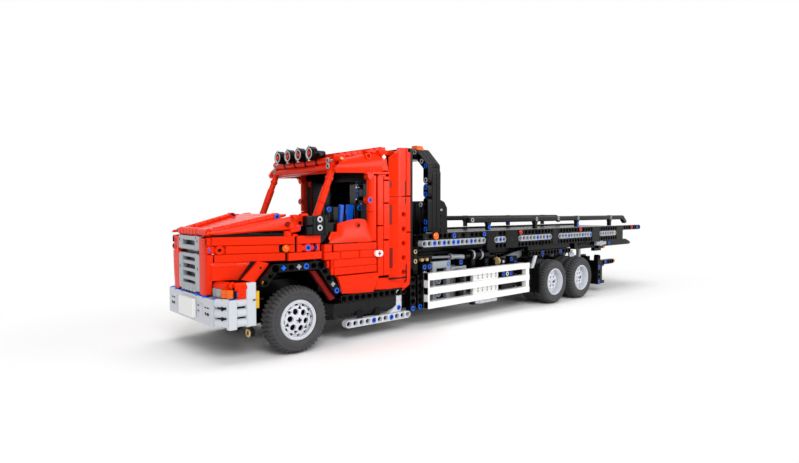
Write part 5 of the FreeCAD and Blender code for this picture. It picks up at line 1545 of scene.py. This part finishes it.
# Under the bed: beams on the chassis, a drive shaft, discs and links
black = []
for x0, holes in ((21.5, 13), (34.5, 13), (47.6, 14)):
    black.append(beam((x0, -4.5, 8.6), BACK, RIGHT, holes, 0.9))
    black += [slab(x0 - 0.5, x0 + holes - 0.55, -4.45, -3.6, z, z + 0.94, 0.05) for z in (6.15, 7.15, 9.15)]
black += [slab(x - 0.45, x + 0.45, -7.3, -3.5, 6.2, 7.1, 0.06) for x in (21.87, 26.6, 30.0, 33.5, 38.5, 43.0, 47.2)]
black += [beam((48.4, -6.9, 8.75), BACK, RIGHT, 14, 0.9), slab(47.9, 61.9, -6.85, -6.0, 9.3, 10.2, 0.05)]
black += [slab(x - 0.45, x + 0.45, -6.5, -3.6, 8.3, 9.2, 0.05) for x in (48.5, 54.5, 61.3)]
black += slabs(
    (20.0, 20.9, -6.95, -6.1, 6.2, 11.1, 0.06), (21.4, 22.32, -7.35, -6.5, 3.9, 8.8, 0.06),
    (22.4, 23.3, -7.35, -6.5, 7.8, 8.8, 0.06), (20.0, 22.3, -6.9, -6.1, 6.2, 7.1),
    (29.3, 30.3, -7.25, -6.3, 6.3, 9.0, 0.06), (42.1, 44.2, -7.25, -6.3, 6.9, 8.7, 0.06),
    (37.9, 41.2, -7.15, -6.2, 6.8, 8.4, 0.06), (32.7, 33.6, -6.9, -6.1, 6.5, 9.0, 0.06),
    (36.0, 36.9, -6.9, -6.1, 7.0, 9.2, 0.06),
)
shaft_steps = [
    (31.3, 32.5, 0.5, 9.3), (32.5, 32.9, 0.75, 9.4), (33.2, 34.7, 0.85, 9.45), (35.2, 36.7, 0.8, 9.35),
    (36.7, 38.4, 0.5, 8.95),
]
for x0, x1, radius, z in shaft_steps:
    black.append(tube((x0, -6.5, z), (x1, -6.5, z - 0.04), radius, 24))
drums = ((53.9, 8.3), (57.2, 8.25), (61.0, 8.2))
black += [tube((x, -5.6, z), (x + 0.55, -5.6, z), 0.62, 20) for x, z in drums]
black += slabs(
    (21.3, 24.6, -6.2, -5.4, 9.1, 9.9, 0.06), (62.4, 68.0, -5.8, -4.6, 6.1, 7.0, 0.06),
    (62.4, 63.3, -5.8, -3.5, 6.1, 7.4, 0.06), (70.56, 71.6, -8.4, -7.6, 1.55, 6.2, 0.06),
    (71.2, 72.6, -8.2, -7.5, 5.0, 5.9, 0.08), (71.4, 72.9, -8.2, -7.6, 1.5, 2.1, 0.06),
    (17.5, 18.3, -7.5, -3.5, 2.9, 7.6, 0.06),
)
black += [beam((17.45, -6.9, 3.5), UP, BACK, 4, 0.4)]
black += slabs(
    (30.6, 31.5, -8.9, -8.2, 2.0, 3.3, 0.05), (36.1, 36.9, -8.9, -8.2, 2.0, 3.3, 0.05),
    (-3.9, -1.2, -3.9, -3.2, 3.0, 5.7, 0.06), (67.7, 69.6, -5.9, -5.2, 6.3, 7.5, 0.06),
    (68.6, 69.4, -6.9, -5.9, 6.3, 7.2, 0.06), (69.8, 70.56, -7.6, -6.0, 2.4, 5.4, 0.06),
)
build("under_beams", both(black), BLACK)

grey = [
    tube((23.0, -6.0, 9.5), (28.7, -6.0, 9.33), 0.2), tube((28.7, -6.0, 9.3), (31.4, -6.3, 9.2), 0.42, 20),
    tube((28.5, -6.0, 9.33), (28.9, -6.0, 9.32), 0.5, 20),
]
actuator = [
    (42.0, 8.3), (45.7, 9.06), (49.3, 9.6), (51.9, 9.95), (51.9, 9.4), (49.5, 8.7), (46.9, 7.95), (44.8, 7.6),
    (43.7, 7.5), (42.9, 7.7),
]
grey += [
    side_plate(actuator, 5.4, 0.7, 0.1),
    side_plate([(49.0, 9.75), (61.5, 10.05), (61.5, 9.6), (50.0, 9.2)], 5.3, 0.5, 0.08),
    slab(66.8, 67.5, -5.9, -5.2, 6.4, 9.3, 0.08), slab(66.2, 67.5, -5.85, -5.2, 8.6, 9.3, 0.08),
]
build("under_grey_links", both(grey), GREY)

disc = [(0.3, 0.05), (0.34, 0.0), (0.76, 0.0), (0.82, 0.07), (0.82, 0.2), (0.4, 0.28)]
cap = [(0.2, 0.04), (0.26, 0.0), (0.52, 0.0), (0.58, 0.06), (0.58, 0.2)]
pale = [turned(disc, (x, -6.5, z), BACK, 24) for x, z in ((32.92, 9.42), (34.9, 9.38))]
pale += [turned([(0.1, 0.0), (0.24, 0.0), (0.28, 0.05), (0.28, 0.2)], (40.5, -7.2, 7.9), RIGHT, 16)]
pale += [turned(cap, (x - 0.15, -5.6, z), BACK, 20) for x, z in drums]
pale += [
    side_plate([(57.6, 9.9), (62.6, 9.05), (64.8, 8.5), (64.6, 8.05), (62.4, 8.55), (57.6, 9.45)], 5.8, 0.45, 0.07),
    side_plate([(63.2, 8.2), (65.0, 8.1), (65.3, 7.0), (63.4, 7.1)], 5.85, 0.4, 0.1),
    ring((21.86, -7.45, 7.35), RIGHT, 0.36, 0.2, 0.3),
]
pale += [tube((x, -8.7, 2.3), (x + 1.3, -8.7, 2.28), 0.34, 20) for x in (32.2, 33.7, 35.2)]
pale += [
    tube((31.2, -8.7, 2.3), (36.6, -8.7, 2.28), 0.24, 12),
    side_plate([(46.9, 8.7), (46.3, 8.7), (45.3, 6.6), (45.9, 6.6)], 9.5, 0.45, 0.08),
    slab(45.6, 46.4, -9.3, -5.9, 6.9, 7.3, 0.05),
]
build("under_pale_bits", both(pale), PALE)
tan = [turned([(0.1, 0.0), (0.6, 0.02), (0.68, 0.15), (0.6, 0.42)], (38.3, -7.35, 8.16), BACK, 24)]
tan += [ring((20.42, -7.0, z), RIGHT, 0.34, 0.16, 0.3) for z in (10.6, 9.2)]
tan += [tube((x, -6.9, 9.3), (x, -6.3, 9.3), 0.26) for x in (21.9, 22.9)]
build("under_tan_bits", both(tan), TAN)
pins = [
    pin((x, -w, z), RIGHT)
    for x, z, w in (
        (42.59, 8.24, 7.27), (43.72, 7.49, 7.27), (29.8, 8.5, 7.27), (21.86, 8.3, 7.37), (22.87, 8.3, 7.37),
        (21.87, 4.45, 7.37), (52.4, 8.75, 6.92), (58.4, 8.75, 6.92),
    )
]
build("under_blue_pins", both(pins), BLUE)
red = slabs(
    (61.0, 61.8, -5.95, -5.5, 8.7, 9.15, 0.08), (72.55, 73.1, -8.1, -7.6, 5.1, 5.5, 0.08),
    (71.4, 71.8, -8.25, -7.7, 5.9, 6.3, 0.08),
)
build("under_red_bits", both(red), RED)
tail = [
    beam((64.3, -7.45, 9.4), BACK, RIGHT, 9, 0.9), slab(70.2, 72.9, -7.4, -6.6, 8.2, 9.0, 0.06),
    slab(71.0, 72.95, -7.9, -7.1, 8.7, 9.85, 0.06),
]
build("tail_lamp_beams", both(tail), BLACK, "bed")
build("tail_lamp_tips", both([tube((72.9, -7.5, 9.0), (73.7, -7.5, 9.0), 0.38, 20)]), ORANGE_ABS, "bed")
build("tail_lamp_tops", both([slab(72.95, 73.6, -7.7, -7.3, 9.38, 9.54, 0.04)]), RED, "bed")


# Stage: the floor keeps its real shading in a box round the truck, and fades between two
# distances from it; a white world lights the scene at a lower level than the camera sees
SHADED_HALF = (0.36, 0.05, 0.0)
FADE_NEAR, FADE_FAR = 0.04, 0.3
FLOOR_HALF = 6.0
WORLD_LIGHT = 0.42

# The photograph's camera, fitted to the holes of its beams: its place in holes, its heading and
# its tilt downwards in radians, and its focal length for a frame of 36 mm
CAMERA_X, CAMERA_Y, CAMERA_Z = -31.855, -62.296, 16.512
CAMERA_YAW, CAMERA_TILT = 0.727, 0.04
LENS, SENSOR = 24.1, 36.0


def seen_directly(tree):
    """1 where a ray comes from the camera, a mirror or clear plastic, 0 where it only carries light."""
    path = node(tree, "ShaderNodeLightPath")
    links = {0: path.outputs["Is Camera Ray"], 1: path.outputs["Is Glossy Ray"]}
    seen = node(tree, "ShaderNodeMath", links, operation="ADD")
    links = {0: seen.outputs[0], 1: path.outputs["Is Transmission Ray"]}
    return node(tree, "ShaderNodeMath", links, operation="ADD", use_clamp=True).outputs[0]


def stage():
    """A pale floor in a white studio.

    Round the truck the floor shows its real shading. With the distance from the truck's box it
    turns to plain white by a smooth step, in sight and in mirrors only.
    """
    material, tree, shader = new_material("studio_paper")
    tint(tree, shader, noise(tree, scale=300.0), linear("FCFCFC"), linear("FFFFFF"))
    shader.inputs["Roughness"].default_value = 0.9
    shader.inputs["Specular IOR Level"].default_value = 0.1
    coords = node(tree, "ShaderNodeTexCoord")
    apart = node(tree, "ShaderNodeVectorMath", {0: coords.outputs["Object"]}, operation="ABSOLUTE")
    beyond = node(tree, "ShaderNodeVectorMath", {0: apart.outputs[0]}, operation="SUBTRACT")
    beyond.inputs[1].default_value = SHADED_HALF
    outside = node(tree, "ShaderNodeVectorMath", {0: beyond.outputs[0]}, operation="MAXIMUM")
    reach = node(tree, "ShaderNodeVectorMath", {0: outside.outputs[0]}, operation="LENGTH")
    fade = node(tree, "ShaderNodeMapRange", {"Value": reach.outputs["Value"]}, interpolation_type="SMOOTHSTEP")
    fade.inputs["From Min"].default_value = FADE_NEAR
    fade.inputs["From Max"].default_value = FADE_FAR
    white = node(tree, "ShaderNodeEmission")
    links = {0: fade.outputs["Result"], 1: seen_directly(tree)}
    part = node(tree, "ShaderNodeMath", links, operation="MULTIPLY")
    mix = node(tree, "ShaderNodeMixShader", {0: part.outputs[0], 1: shader.outputs[0], 2: white.outputs[0]})
    tree.links.new(mix.outputs[0], tree.nodes["Material Output"].inputs["Surface"])
    size = FLOOR_HALF
    mesh = bpy.data.meshes.new("floor")
    mesh.from_pydata([(-size, -size, 0), (size, -size, 0), (size, size, 0), (-size, size, 0)], [], [(0, 1, 2, 3)])
    floor = bpy.data.objects.new("floor", mesh)
    bpy.context.scene.collection.objects.link(floor)
    mesh.materials.append(material)
    world = bpy.data.worlds.new("studio")
    world.use_nodes = True
    bpy.context.scene.world = world
    sky = world.node_tree
    level = node(sky, "ShaderNodeMapRange", {"Value": seen_directly(sky)})
    level.inputs["To Min"].default_value = WORLD_LIGHT
    level.inputs["To Max"].default_value = 1.0
    background = sky.nodes["Background"]
    background.inputs["Color"].default_value = (1, 1, 1, 1)
    sky.links.new(level.outputs["Result"], background.inputs["Strength"])
    bpy.context.scene.view_settings.view_transform = "Standard"


def lamp(name, place, target, size, power):
    """A soft box that faces its target."""
    data = bpy.data.lights.new(name, "AREA")
    data.shape = "RECTANGLE"
    data.size, data.size_y = size
    data.energy = power
    item = bpy.data.objects.new(name, data)
    item.location = place
    way = np.array(target, float) - np.array(place, float)
    item.rotation_euler = Vector(way).to_track_quat("-Z", "Y").to_euler()
    bpy.context.scene.collection.objects.link(item)


def camera():
    """The photograph's view, low and from the front left."""
    data = bpy.data.cameras.new("camera")
    data.lens = LENS
    data.sensor_width = SENSOR
    data.clip_start = 0.01
    item = bpy.data.objects.new("camera", data)
    item.location = ((FRONT_AXLE + CAMERA_X) * PITCH, CAMERA_Y * PITCH, CAMERA_Z * PITCH)
    item.rotation_euler = (math.pi / 2 - CAMERA_TILT, 0.0, -CAMERA_YAW)
    bpy.context.scene.collection.objects.link(item)
    bpy.context.scene.camera = item


stage()
lamp("key", (-0.9, -1.4, 1.3), (0, 0, 0.1), (0.9, 0.9), 18.0)
lamp("fill", (1.2, -1.5, 0.8), (0, 0, 0.1), (1.0, 0.8), 5.0)
lamp("cab_side", (0.62, -1.26, 0.3), (-0.25, 0, 0.15), (0.42, 0.35), 3.0)
lamp("top", (0.0, 0.1, 1.7), (0, 0, 0.1), (1.6, 0.8), 11.0)
camera()
